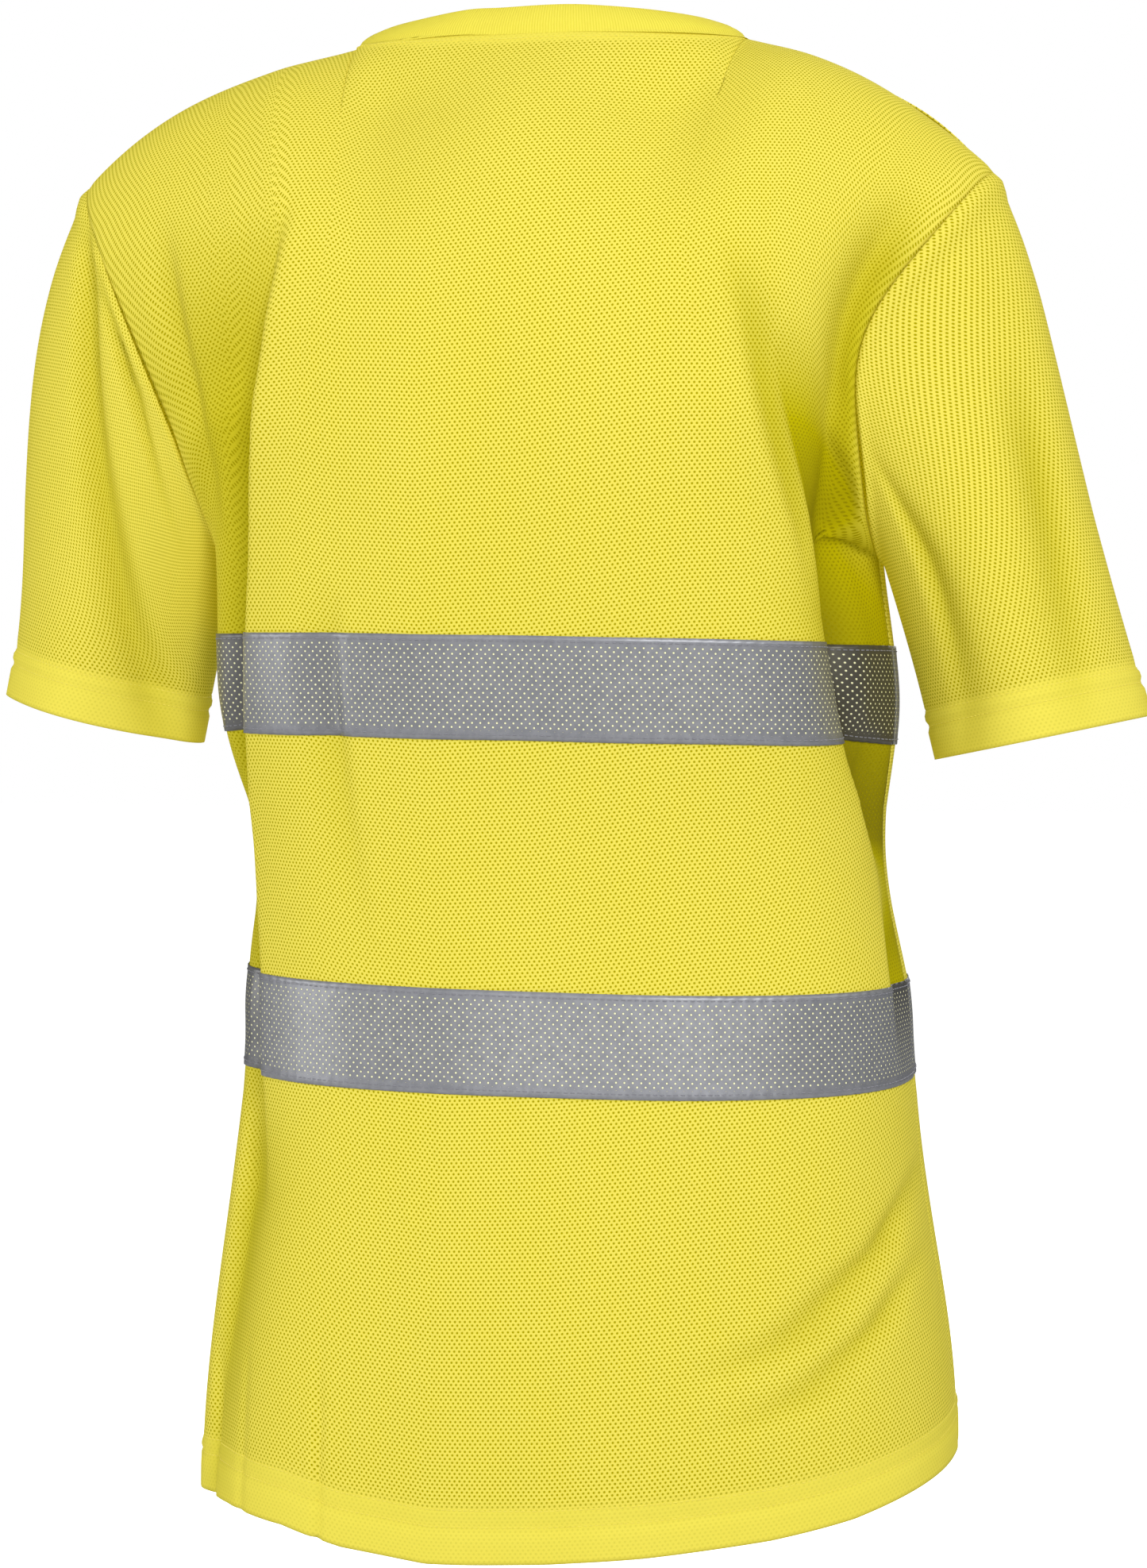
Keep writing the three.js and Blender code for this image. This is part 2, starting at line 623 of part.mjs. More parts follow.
/** The overlocked seam inside the armhole, on the body's side of it. */
function addArmholeSeam(side, hand) {
  const ring = armholeRing(hand);
  const centre = mixPoints(ring[0], ring[ARMHOLE_ROWS], 0.5);
  const inwards = ring.map((p) => point(0, centre.y - p.y, centre.z - p.z).normalize());
  const onBody = point(hand * (SEAM_ALLOWANCE / 2 + CLEARANCE), 0, 0);
  const route = ring.map((p) => p.clone().sub(onBody));
  const geometry = ribbon(route, point(1, 0, 0), inwards, FACE + CLEARANCE, true);
  addPiece(shirt, `${side}_armhole_seam`, geometry, yellowThread());
}

// ---------------------------------------------------------------- the shirt

addPanels();
addTapes();
addHemStitch();
addSideSeam("left_side_seam", LEFT);
addSideSeam("right_side_seam", RIGHT);
addShoulderSeam("left_shoulder_seam", LEFT);
addShoulderSeam("right_shoulder_seam", RIGHT);
addRib();
addNeckStitch();
addNeckTape();
addSizeLabel();
addCareLabel();
addSleeve("left", LEFT);
addSleeve("right", RIGHT);
addArmholeSeam("left", LEFT);
addArmholeSeam("right", RIGHT);

export default shirt;
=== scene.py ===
import math

import bpy
import numpy as np
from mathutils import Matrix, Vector


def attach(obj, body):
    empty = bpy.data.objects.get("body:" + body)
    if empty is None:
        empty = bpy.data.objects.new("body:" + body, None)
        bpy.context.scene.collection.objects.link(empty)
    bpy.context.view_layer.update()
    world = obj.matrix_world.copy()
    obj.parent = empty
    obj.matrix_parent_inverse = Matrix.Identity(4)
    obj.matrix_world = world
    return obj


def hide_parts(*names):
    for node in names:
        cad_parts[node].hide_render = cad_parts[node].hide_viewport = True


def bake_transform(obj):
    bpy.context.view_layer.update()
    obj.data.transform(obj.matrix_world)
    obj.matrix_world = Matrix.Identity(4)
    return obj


# The looks of a high visibility T-shirt, in metres. The front faces -Y and the wearer's left is +X.
# Every soft piece is a sheet over a grid: rows run round the body or the arm, columns run up it.

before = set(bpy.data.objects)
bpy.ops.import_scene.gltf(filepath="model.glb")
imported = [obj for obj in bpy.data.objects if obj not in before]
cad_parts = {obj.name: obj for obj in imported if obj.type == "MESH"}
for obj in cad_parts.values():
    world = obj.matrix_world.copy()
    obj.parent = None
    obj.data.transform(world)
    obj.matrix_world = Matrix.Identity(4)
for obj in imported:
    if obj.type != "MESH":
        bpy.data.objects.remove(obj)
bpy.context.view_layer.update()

BACK, FRONT = 1, -1
LEFT, RIGHT = 1, -1
HANDS = {"left": LEFT, "right": RIGHT}

# ------------------------------------------------------------------ sizes of the CAD model's cloth

NECK_RISE = 0.735  # heights above the lower edge of the hem
TIP_RISE = 0.666
ARMPIT_RISE = 0.478
UPPER_TAPE_RISE = 0.383
LOWER_TAPE_RISE = 0.213
TAPE_WIDTH = 0.050
HEM_DEPTH = 0.025
NEEDLE_GAP = 0.0077  # between the two lines of a cover stitch

NECK_HALF_WIDTH = 0.100
SHOULDER_HALF_WIDTH = 0.241
ARMPIT_HALF_WIDTH = 0.172
CHEST_HALF_DEPTH = 0.122
SHOULDER_SET_BACK = 0.020
NECK_DEPTH = {BACK: 0.050, FRONT: 0.078}
NECK_DROP = {BACK: 0.005, FRONT: 0.085}
HALF_WIDTHS = [(0, 0.195), (0.238, 0.173), (0.323, 0.166), (0.408, 0.175), (0.478, 0.172)]
HALF_DEPTHS = [(0, 0.140), (0.323, 0.116), (0.478, 0.122)]
SET_BACKS = [(0, 0), (0.323, 0), (0.666, SHOULDER_SET_BACK)]
ROUNDNESS = 2 / 2.5

CUFF_RADIUS = 0.055
CUFF_OUT = 0.245
CUFF_RISE = 0.388
CUFF_FORWARD = 0.008
CUFF_TILT = math.radians(13)
SLEEVE_BULGE = 0.016
ARMHOLE_HALF_DEPTH = 0.060

RIB_WIDTH = 0.016
RIB_SIDE, RIB_BACK, RIB_FRONT = (math.radians(a) for a in (20, 65, 30))

# Columns are counted outwards from the middle of a panel: 4 to the neck point, 10 to the sleeve.
NECK_COLUMN = 4
LAST_COLUMN = 10

# ------------------------------------------------------------------ sizes of the cloth itself

CLOTH = 0.0007
TAPE = 0.00025
RIB = 0.0016
FINE = 1
COLUMN_STEP = FINE / 12
LOWER_STEP = 0.005 * FINE
UPPER_ROWS = 56 // FINE
SLEEVE_ROWS = 48 // FINE
SLEEVE_COLUMNS = 200 // FINE


def smooth(t):
    t = np.clip(t, 0, 1)
    return t * t * (3 - 2 * t)


def mix(a, b, t):
    return a + (b - a) * t


def at_height(sections, height):
    """Steps smoothly from one section's value to the next up the body."""
    heights, values = np.array(sections, float).T
    k = np.clip(np.searchsorted(heights, height) - 1, 0, len(heights) - 2)
    t = (height - heights[k]) / (heights[k + 1] - heights[k])
    return mix(values[k], values[k + 1], smooth(t))


def unit(v):
    return v / np.maximum(np.linalg.norm(v, axis=-1, keepdims=True), 1e-12)


# ------------------------------------------------------------------ the body's surface

def top_of(side, column):
    """Where a column ends: on the collar seam, or on the shoulder seam."""
    turn = np.clip(column / NECK_COLUMN, 0, 1) * math.pi / 2
    out = np.clip((column - NECK_COLUMN) / (LAST_COLUMN - NECK_COLUMN), 0, 1)
    on_neck = column < NECK_COLUMN
    shoulder_x = mix(NECK_HALF_WIDTH, SHOULDER_HALF_WIDTH, out)
    x = np.where(on_neck, NECK_HALF_WIDTH * np.sin(turn), shoulder_x)
    bow = np.where(on_neck, np.cos(turn), 0)
    fall = (NECK_RISE - TIP_RISE) * (out + out**3) / 2
    return x, side * NECK_DEPTH[side] * bow, NECK_RISE - NECK_DROP[side] * bow - fall


def lower_surface(side, column, height):
    """Points of a panel from the hem to the armpits."""
    angle = math.pi / 2 * column / LAST_COLUMN
    x = at_height(HALF_WIDTHS, height) * np.sin(angle) ** ROUNDNESS
    y = at_height(HALF_DEPTHS, height) * np.clip(np.cos(angle), 0, 1) ** ROUNDNESS
    return x, side * y, height + 0 * column


def upper_surface(side, column, s):
    """Points of a panel above the armpits, a share s of the way up each column."""
    top_x, top_y, top_z = top_of(side, column)
    soft_y = side * NECK_DEPTH[side] * np.clip(1 - (top_x / NECK_HALF_WIDTH) ** 2, 0, 1) ** 2
    top_y = mix(soft_y, top_y, smooth((s - 0.82) / 0.18))
    low = np.sin(math.pi / 2 * column / LAST_COLUMN) ** ROUNDNESS
    across = mix(low, top_x / SHOULDER_HALF_WIDTH, smooth(s / 0.7))
    half_width = mix(ARMPIT_HALF_WIDTH, SHOULDER_HALF_WIDTH, s**1.6)
    flatness = mix(2.5, 1, smooth(s / 0.4))
    crown = np.clip(1 - across**2.5, 0, 1) ** (1 / flatness)
    rounding = mix(1, 0.5, smooth((top_x - 0.070) / 0.070))
    soft_z = NECK_RISE - (NECK_RISE - TIP_RISE) * (top_x / SHOULDER_HALF_WIDTH) ** 2
    if side == BACK:
        top_z = mix(soft_z, top_z, smooth((s - 0.70) / 0.30))
    plateau = mix(top_y, side * CHEST_HALF_DEPTH, np.clip(1 - s**3, 0, 1) ** rounding)
    armhole = side * 2 * ARMHOLE_HALF_DEPTH * np.sqrt(np.clip(s * (1 - s), 0, 1))
    armhole = armhole * mix(1, smooth(s / 0.3), smooth(crown / 0.5))
    y = np.where(s >= 1, top_y, mix(armhole, plateau, crown))
    return half_width * across, y, mix(ARMPIT_RISE, top_z, s)


def placed(x, y, z):
    """Moves body points to the shared frame, where the neck points are at height 0."""
    back = at_height(SET_BACKS, np.minimum(z, TIP_RISE))
    return np.stack([x, y + back, z - NECK_RISE], -1)


def body_rows(side, columns, rows):
    """Grid of points of one panel. A row is a height below the armpits, or 1 + the share above them."""
    grid = []
    away = np.abs(columns)
    for row in rows:
        surface = upper_surface if row >= 1 else lower_surface
        x, y, z = surface(side, away, row - 1 if row >= 1 else row)
        grid.append(placed(np.sign(columns) * x, y, z))
    return np.array(grid)


def normals_of(points, ring=False):
    """Outward unit normals of a grid whose rows run counter-clockwise seen from above."""
    if ring:
        along = np.roll(points, -1, 1) - np.roll(points, 1, 1)
    else:
        along = np.gradient(points, axis=1)
    up = np.gradient(points, axis=0)
    return unit(np.cross(along, up))


def lengths(points, axis):
    """Distance along a grid's rows or columns, from its first point."""
    steps = np.linalg.norm(np.diff(points, axis=axis), axis=-1)
    start = np.zeros_like(np.take(steps, [0], axis))
    return np.concatenate([start, np.cumsum(steps, axis)], axis)


# ------------------------------------------------------------------ folds

# A fold runs along (x, z, strength) points, top to bottom. depth is how far its floor lies below the
# cloth, and a negative depth is a ridge. inner and outer are its widths on the side towards the
# wearer's right (-X) and left (+X). lap is how far the lip on the -X side leans over the floor. shade is
# painted: it deepens the cloth's own colour where the fold would keep light out, to deep yellow at 1 and
# dark at 2. reach is how many times wider than the fold its shade is, on its wider side.
BACK_FOLDS = [
    dict(path=[(0.106, -0.085, 0), (0.114, -0.112, 0.35), (0.122, -0.147, 0.6), (0.129, -0.185, 0.8),
               (0.134, -0.226, 1), (0.138, -0.265, 1), (0.144, -0.305, 1), (0.148, -0.345, 1),
               (0.151, -0.385, 0.9), (0.152, -0.425, 0.75), (0.152, -0.51, 0.6), (0.150, -0.60, 0)],
         depth=0.022, inner=0.005, outer=0.034, lap=0.005, shade=0.95, reach=2.4),
    dict(path=[(0.086, -0.27, 0), (0.090, -0.33, 1), (0.084, -0.40, 0.5), (0.075, -0.48, 0)],
         depth=0.004, inner=0.006, outer=0.016, lap=0, shade=0.3),
    dict(path=[(0.180, -0.085, 0), (0.172, -0.15, 1), (0.166, -0.20, 0.7), (0.160, -0.27, 0)],
         depth=0.006, inner=0.006, outer=0.013, lap=0, shade=0.5),
    dict(path=[(-0.207, -0.075, 0), (-0.204, -0.12, 0.7), (-0.190, -0.165, 0.9), (-0.177, -0.20, 1),
               (-0.167, -0.244, 1), (-0.165, -0.29, 0.9), (-0.168, -0.36, 0.5), (-0.175, -0.43, 0)],
         depth=0.020, inner=0.014, outer=0.022, lap=0, shade=0.9, reach=1.3),
    dict(path=[(-0.124, -0.134, 0), (-0.140, -0.186, 0.5), (-0.155, -0.243, 0.8), (-0.161, -0.295, 1),
               (-0.164, -0.35, 1), (-0.167, -0.41, 0.9), (-0.170, -0.47, 0.6), (-0.172, -0.53, 0)],
         depth=0.008, inner=0.040, outer=0.005, lap=0, shade=1.7, reach=1.3),
    dict(path=[(-0.104, -0.10, 0), (-0.120, -0.15, 0.6), (-0.132, -0.20, 1), (-0.144, -0.25, 0.6),
               (-0.152, -0.30, 0)],
         depth=0.005, inner=0.016, outer=0.007, lap=0, shade=0.7),
    dict(path=[(-0.185, -0.55, 0), (-0.165, -0.60, 1), (-0.125, -0.64, 0.7), (-0.085, -0.66, 0)],
         depth=0.006, inner=0.014, outer=0.009, lap=0, shade=0.4),
    dict(path=[(-0.185, -0.60, 0), (-0.165, -0.64, 0.9), (-0.130, -0.67, 0.6), (-0.095, -0.685, 0)],
         depth=0.005, inner=0.012, outer=0.009, lap=0, shade=0.4),
    dict(path=[(0.165, -0.50, 0), (0.160, -0.58, 1), (0.170, -0.66, 0.7), (0.178, -0.735, 0.4)],
         depth=0.009, inner=0.028, outer=0.010, lap=0, shade=0.7),
]
HEM_TUCKS = [(0.103, 0.0022, 0.0022), (0.150, 0.0012, 0.003), (0.176, 0.0018, 0.002)]


def fold_strength(fold, x, z, stretch):
    """Signed distance from a fold's line, and the fold's strength there."""
    xs, zs, strengths = np.array(fold["path"], float)[::-1].T
    line = np.interp(z, zs, xs)
    strength = smooth(np.interp(z, zs, strengths, left=0, right=0))
    slope = (np.interp(z + 0.01, zs, xs) - np.interp(z - 0.01, zs, xs)) / 0.02
    return (x - line) * stretch / np.sqrt(1 + slope**2), strength


def folded(points, normals, across, folds, hold):
    """Presses the folds into a grid, and leans their lips over, by a share of 0 where a seam holds the
    cloth. Gives the points and their painted shade."""
    stretch = 1 / np.clip(np.abs(across[..., 0]), 0.35, 1)
    x, z = points[..., 0], points[..., 2]
    moved = points.copy()
    shade = np.zeros_like(x)
    for fold in folds:
        d, strength = fold_strength(fold, x, z, stretch)
        width = np.where(d < 0, fold["inner"], fold["outer"])
        pressed = strength * np.exp(-((d / width) ** 2))
        moved -= (fold["depth"] * pressed * hold)[..., None] * normals
        soft = np.where(width == max(fold["inner"], fold["outer"]), width * fold.get("reach", 1), width)
        shade = np.maximum(shade, fold.get("shade", 0.5) * strength * np.exp(-((d / soft) ** 2)))
        if fold["lap"]:
            lip = np.exp(-(((d + fold["inner"]) / 0.010) ** 2)) * (d < 0)
            moved += (fold["lap"] * strength * lip * hold)[..., None] * across
    return moved, shade


def rippled(points, normals, size, seed):
    """Slow waves, long down the cloth and short across it."""
    draw = np.random.default_rng(seed)
    height = np.zeros(points.shape[:2])
    for _ in range(9):
        across, up, phase = draw.uniform(35, 85), draw.uniform(-14, 14), draw.uniform(0, 6.28)
        height += np.sin(points[..., 0] * across + points[..., 2] * up + phase)
    return points + (height * size / 4)[..., None] * normals


# ------------------------------------------------------------------ how the shirt hangs on its wearer

# Sideways shift and slope by height, and the rise of the hem by x.
SWAY = [(0, -0.003), (0.20, -0.003), (0.26, -0.001), (0.30, 0.003), (0.35, 0.007), (0.41, 0.008),
        (0.50, 0.010), (0.62, 0.010), (0.74, 0.007)]
TILT = [(0, -0.07), (0.12, -0.02), (0.24, 0.012), (0.41, 0.02), (0.70, 0.022)]
TIP_SHIFT = {LEFT: 0.004, RIGHT: 0.016}
HEM_ARC = [(-0.20, 0.012), (-0.155, 0.003), (-0.118, -0.001), (-0.06, -0.0045), (-0.012, -0.0065),
           (0.046, -0.006), (0.09, 0), (0.123, 0.0085), (0.16, 0.012), (0.20, 0.010)]
HEM_ARC_REACH = 0.20
ARMHOLE_BOW = 0.018  # the right sleeve's seam curves in towards the shoulder blade
BOW_RISE = 0.57


def hung(points):
    """Leans the shirt sideways as its wearer stands, with one shoulder and one hip a little higher."""
    x, height = points[..., 0], points[..., 2] + NECK_RISE
    sway = np.interp(height, *np.array(SWAY).T)
    tilt = np.interp(height, *np.array(TILT).T)
    near_tip = smooth((np.abs(x) - 0.095) / 0.14) * smooth((height - 0.40) / 0.20)
    arc = np.interp(x, *np.array(HEM_ARC).T) * (1 - smooth(height / HEM_ARC_REACH))
    behind = smooth((points[..., 1] - 0.02) / 0.03)
    bow = behind * np.exp(-(((x + 0.205) / 0.040) ** 2) - ((height - BOW_RISE) / 0.060) ** 2)
    moved = points.copy()
    moved[..., 0] += ARMHOLE_BOW * bow
    moved[..., 0] += sway + near_tip * np.where(x > 0, TIP_SHIFT[LEFT], TIP_SHIFT[RIGHT])
    moved[..., 2] += tilt * x + arc
    return moved


# ------------------------------------------------------------------ panels as finished grids

SEAM_SINK = 0.0008
SEAM_REACH = 0.0035
SEAM_HOLD = 0.026  # folds reach their full depth this far from a seam


def from_edges(points):
    """Distance of every point of a row from the nearer end of the row."""
    run = lengths(points, 1)
    return np.minimum(run, run[:, -1:] - run)


def hem_relief(height):
    """The hem's double cloth stands out a little, and each line of stitching pulls it in."""
    relief = 0.0010 * (1 - smooth((height - HEM_DEPTH) / 0.003))
    for line in (HEM_DEPTH, HEM_DEPTH - NEEDLE_GAP):
        relief = relief - 0.0013 * np.exp(-(((height - line) / 0.0015) ** 2))
    return relief


def panel_surface(side, columns, rows):
    """The panel's finished outer surface at these rows, with its normals and cloth coordinates."""
    flat = body_rows(side, columns, rows)
    normals = normals_of(flat)
    across = unit(np.gradient(flat, axis=1)) * -side
    height = flat[..., 2] + NECK_RISE
    edge = from_edges(flat)
    hold = smooth(edge / SEAM_HOLD)
    points, shade = folded(flat, normals, across, BACK_FOLDS if side == BACK else FRONT_FOLDS, hold)
    tuck_zone = 1 - smooth((height - 0.05) / 0.05)
    if side == BACK:
        for x, depth, width in HEM_TUCKS:
            tuck = depth * tuck_zone * np.exp(-(((flat[..., 0] - x) / width) ** 2))
            points -= tuck[..., None] * normals
    points = rippled(points, normals, 0.0011, 5 + side)
    sink = SEAM_SINK * np.exp(-((edge / SEAM_REACH) ** 2)) - hem_relief(height)
    points -= sink[..., None] * normals
    u = lengths(flat, 1)
    middle = np.argmin(np.abs(columns))
    return dict(points=hung(points), u=u - u[:, middle:middle + 1], height=height, shade=shade)


FRONT_FOLDS = [
    dict(path=[(0.120, -0.14, 0), (0.128, -0.22, 0.8), (0.130, -0.34, 1), (0.125, -0.46, 0.4),
               (0.12, -0.58, 0)],
         depth=0.008, inner=0.010, outer=0.024, lap=0),
    dict(path=[(-0.130, -0.14, 0), (-0.134, -0.22, 0.8), (-0.136, -0.34, 1), (-0.13, -0.46, 0.5),
               (-0.13, -0.6, 0)],
         depth=0.008, inner=0.022, outer=0.010, lap=0),
    dict(path=[(0.03, -0.42, 0), (0.04, -0.52, 1), (0.05, -0.64, 0.6), (0.05, -0.72, 0.2)],
         depth=0.004, inner=0.020, outer=0.020, lap=0),
]


def columns_of(side, step=COLUMN_STEP):
    count = round(LAST_COLUMN / step)
    return np.arange(count, -count - 1, -1) * step * side


LOWER_ROWS = list(np.arange(0, ARMPIT_RISE - LOWER_STEP / 2, LOWER_STEP))
UPPER_SHARES = [(1 - math.cos(math.pi * k / UPPER_ROWS)) / 2 for k in range(UPPER_ROWS + 1)]
PANEL_ROWS = sorted({*LOWER_ROWS, HEM_DEPTH, HEM_DEPTH - NEEDLE_GAP, 0.0022, 0.0263}) + [
    1 + s for s in UPPER_SHARES
]


# ------------------------------------------------------------------ meshes

def grid_mesh(name, points, uv, material, ring=False, **shares):
    """A mesh of quads over a grid of points, with cloth coordinates in metres and named shares."""
    rows, columns = points.shape[:2]
    index = np.arange(rows * columns).reshape(rows, columns)
    if ring:
        index = np.concatenate([index, index[:, :1]], 1)
    quads = np.stack([index[:-1, :-1], index[:-1, 1:], index[1:, 1:], index[1:, :-1]], -1)
    mesh = bpy.data.meshes.new(name)
    mesh.from_pydata(points.reshape(-1, 3).tolist(), [], quads.reshape(-1, 4).tolist())
    wide = uv
    if ring:
        step = uv[:, -1:, :1] - uv[:, -2:-1, :1]
        last = np.concatenate([uv[:, -1:, :1] + step, uv[:, :1, 1:]], -1)
        wide = np.concatenate([uv, last], 1)
    corners = np.stack([wide[:-1, :-1], wide[:-1, 1:], wide[1:, 1:], wide[1:, :-1]], 2)
    layer = mesh.uv_layers.new(name="cloth")
    layer.data.foreach_set("uv", corners.reshape(-1).astype(np.float32))
    for share_name, values in shares.items():
        attribute = mesh.attributes.new(share_name, "FLOAT", "POINT")
        attribute.data.foreach_set("value", values.reshape(-1).astype(np.float32))
    mesh.polygons.foreach_set("use_smooth", [True] * len(mesh.polygons))
    mesh.materials.append(material)
    obj = bpy.data.objects.new(name, mesh)
    bpy.context.scene.collection.objects.link(obj)
    return obj


def thickened(obj, thickness, offset=-1):
    modifier = obj.modifiers.new("thickness", "SOLIDIFY")
    modifier.thickness = thickness
    modifier.offset = offset
    return obj


def stand_for(obj, node, body="torso"):
    """obj replaces a CAD node and rides on its body."""
    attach(obj, body)
    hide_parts(node)
    return obj


STITCH_SIDES = 6
THREAD_RADIUS = 0.00030
COVER_STITCH = dict(pitch=0.0028, length=0.0024)
LOCK_STITCH = dict(pitch=0.0033, length=0.0026)
NECK_STITCH = dict(pitch=0.0026, length=0.0023)


def stitch_row(name, line, normals, pitch, length, material, slot, body, ring):
    """Separate stitches along a line on the cloth, each a short rounded thread."""
    radius = THREAD_RADIUS
    if ring:
        line, normals = np.concatenate([line, line[:1]]), np.concatenate([normals, normals[:1]])
    run = np.concatenate([[0], np.cumsum(np.linalg.norm(np.diff(line, axis=0), axis=1))])
    count = int(run[-1] // pitch)
    starts = (np.arange(count) + 0.5) * run[-1] / count

    def at(distance, values):
        return np.stack([np.interp(distance, run, values[:, k]) for k in range(3)], -1)

    profile = [(-0.5, 0.35, -0.8), (-0.32, 1, 0.3), (0, 1, 0.55), (0.32, 1, 0.3), (0.5, 0.35, -0.8)]
    rings = []
    for along, wide, high in profile:
        centre = at(starts + along * length, line)
        up = unit(at(starts, normals))
        forward = unit(at(starts + 0.0003, line) - at(starts - 0.0003, line))
        sideways = np.cross(up, forward)
        centre = centre + up * high * radius
        for k in range(STITCH_SIDES):
            turn = 2 * math.pi * k / STITCH_SIDES
            rings.append(centre + radius * wide * (math.cos(turn) * sideways + math.sin(turn) * up))
    points = np.array(rings).reshape(len(profile), STITCH_SIDES, count, 3).transpose(2, 0, 1, 3)
    index = np.arange(points.size // 3).reshape(points.shape[:3])
    after = np.roll(index, -1, 2)
    sides = np.stack([index[:, :-1], after[:, :-1], after[:, 1:], index[:, 1:]], -1).reshape(-1, 4)
    caps = np.concatenate([index[:, 0, ::-1], index[:, -1]])
    mesh = bpy.data.meshes.new(name)
    mesh.from_pydata(points.reshape(-1, 3).tolist(), [], sides.tolist() + caps.tolist())
    mesh.polygons.foreach_set("use_smooth", [True] * len(mesh.polygons))
    mesh.materials.append(material)
    obj = bpy.data.objects.new(name, mesh)
    bpy.context.scene.collection.objects.link(obj)
    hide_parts(name.removeprefix("sewn_"))
    if body == "torso":
        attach(obj, body)
    return obj


# ------------------------------------------------------------------ materials

def new_material(name):
    material = bpy.data.materials.new(name)
    material.use_nodes = True
    tree = material.node_tree
    return material, tree, tree.nodes["Principled BSDF"]


def calc(tree, operation, a, b=None, clamp=False):
    """One maths node. Each operand is a socket or a number."""
    node = tree.nodes.new("ShaderNodeMath")
    node.operation = operation
    node.use_clamp = clamp
    for k, value in enumerate((a, b)):
        if isinstance(value, (int, float)):
            node.inputs[k].default_value = value
        elif value is not None:
            tree.links.new(value, node.inputs[k])
    return node.outputs[0]


def ramp(tree, value, low, high):
    """0 below low, 1 above high, and smooth between them. low may be the larger."""
    node = tree.nodes.new("ShaderNodeMapRange")
    node.interpolation_type = "SMOOTHSTEP"
    flip = low > high
    node.inputs["From Min"].default_value = min(low, high)
    node.inputs["From Max"].default_value = max(low, high)
    node.inputs["To Min"].default_value = 1 if flip else 0
    node.inputs["To Max"].default_value = 0 if flip else 1
    tree.links.new(value, node.inputs["Value"])
    return node.outputs["Result"]


def cloth_coordinates(tree):
    node = tree.nodes.new("ShaderNodeUVMap")
    node.uv_map = "cloth"
    split = tree.nodes.new("ShaderNodeSeparateXYZ")
    tree.links.new(node.outputs["UV"], split.inputs[0])
    return split.outputs["X"], split.outputs["Y"]


def lattice(tree, u, v, pitch_u, pitch_v, shift):
    """Distance in metres from the nearest point of a grid of points."""
    parts = []
    for value, pitch in ((u, pitch_u), (v, pitch_v)):
        cell = calc(tree, "FRACT", calc(tree, "ADD", calc(tree, "DIVIDE", value, pitch), 100 + shift))
        away = calc(tree, "MULTIPLY", calc(tree, "SUBTRACT", cell, 0.5), pitch)
        parts.append(calc(tree, "MULTIPLY", away, away))
    return calc(tree, "SQRT", calc(tree, "ADD", *parts))


def staggered(tree, u, v, pitch_u, pitch_v):
    near = [lattice(tree, u, v, pitch_u, pitch_v, shift) for shift in (0, 0.5)]
    return calc(tree, "MINIMUM", *near)


def blended(tree, factor, a, b):
    """Mixes two colours. Each is a socket or a colour."""
    node = tree.nodes.new("ShaderNodeMix")
    node.data_type = "RGBA"
    if isinstance(factor, float):
        node.inputs["Factor"].default_value = factor
    else:
        tree.links.new(factor, node.inputs["Factor"])
    for value, name in ((a, 6), (b, 7)):
        if isinstance(value, tuple):
            node.inputs[name].default_value = (*value, 1)
        else:
            tree.links.new(value, node.inputs[name])
    return node.outputs[2]


def noise(tree, scale, detail=2):
    node = tree.nodes.new("ShaderNodeTexNoise")
    node.inputs["Scale"].default_value = scale
    node.inputs["Detail"].default_value = detail
    position = tree.nodes.new("ShaderNodeTexCoord")
    tree.links.new(position.outputs["Object"], node.inputs["Vector"])
    return node.outputs["Fac"]


def bumped(tree, shader, height, distance, strength):
    node = tree.nodes.new("ShaderNodeBump")
    node.inputs["Distance"].default_value = distance
    node.inputs["Strength"].default_value = strength
    tree.links.new(height, node.inputs["Height"])
    tree.links.new(node.outputs["Normal"], shader.inputs["Normal"])


YELLOW = (0.67, 0.578, 0.092)
UNEVEN_YELLOW = (0.60, 0.51, 0.03)
# The rib's valleys are painted darker and its ridges lighter: painted shade and light along the ribs.
RIB_VALLEY_PAINTED_SHADE, RIB_RIDGE_PAINTED_LIGHT = (0.60, 0.52, 0.050), (0.69, 0.60, 0.075)
RIB_PITCH = 0.0014
# Painted glow: a fixed yellow light that the yellow cloth, rib, binding and thread give off, whatever light
# falls on them.
PAINTED_GLOW = (0.13, 0.115, 0.0)
# Painted shade of the shirt's inside, seen through the eyelets.
PAINTED_HOLE_SHADE = (0.28, 0.235, 0.0)
DOUBLE_YELLOW = (0.665, 0.577, 0.085)
# Painted shade: the colours the painted shade takes the cloth and the tape to, deep at 1 and dark at 2.
PAINTED_SHADE_YELLOW = (0.42, 0.365, 0.0)
PAINTED_DARK_SHADE_YELLOW = (0.13, 0.105, 0.006)
PAINTED_SHADE_SILVER = (0.090, 0.088, 0.082)
PAINTED_DARK_SHADE_SILVER = (0.050, 0.040, 0.006)
EYELET_PITCH = (0.0025, 0.0035)
EYELET_EDGE = (0.00070, 0.00042)  # radii where an eyelet starts and where it is fully open


def attribute(tree, name):
    node = tree.nodes.new("ShaderNodeAttribute")
    node.attribute_name = name
    return node.outputs["Fac"]


def shaded(tree, colour, deep, dark):
    """Paints shade into a colour: takes it through its painted deep shade to its painted dark shade, by the
    grid's painted shade.
    """
    shade = attribute(tree, "shade")
    colour = blended(tree, calc(tree, "MULTIPLY", shade, 1.0, clamp=True), colour, deep)
    return blended(tree, calc(tree, "SUBTRACT", shade, 1.0, clamp=True), colour, dark)


def add_painted_glow(shader, strength=1.0):
    """Paints a glow: the cloth gives off a fixed yellow light of its own whatever light falls on it, standing
    in for fluorescent dye that turns unseen light into yellow.
    """
    shader.inputs["Emission Color"].default_value = (*PAINTED_GLOW, 1)
    shader.inputs["Emission Strength"].default_value = strength


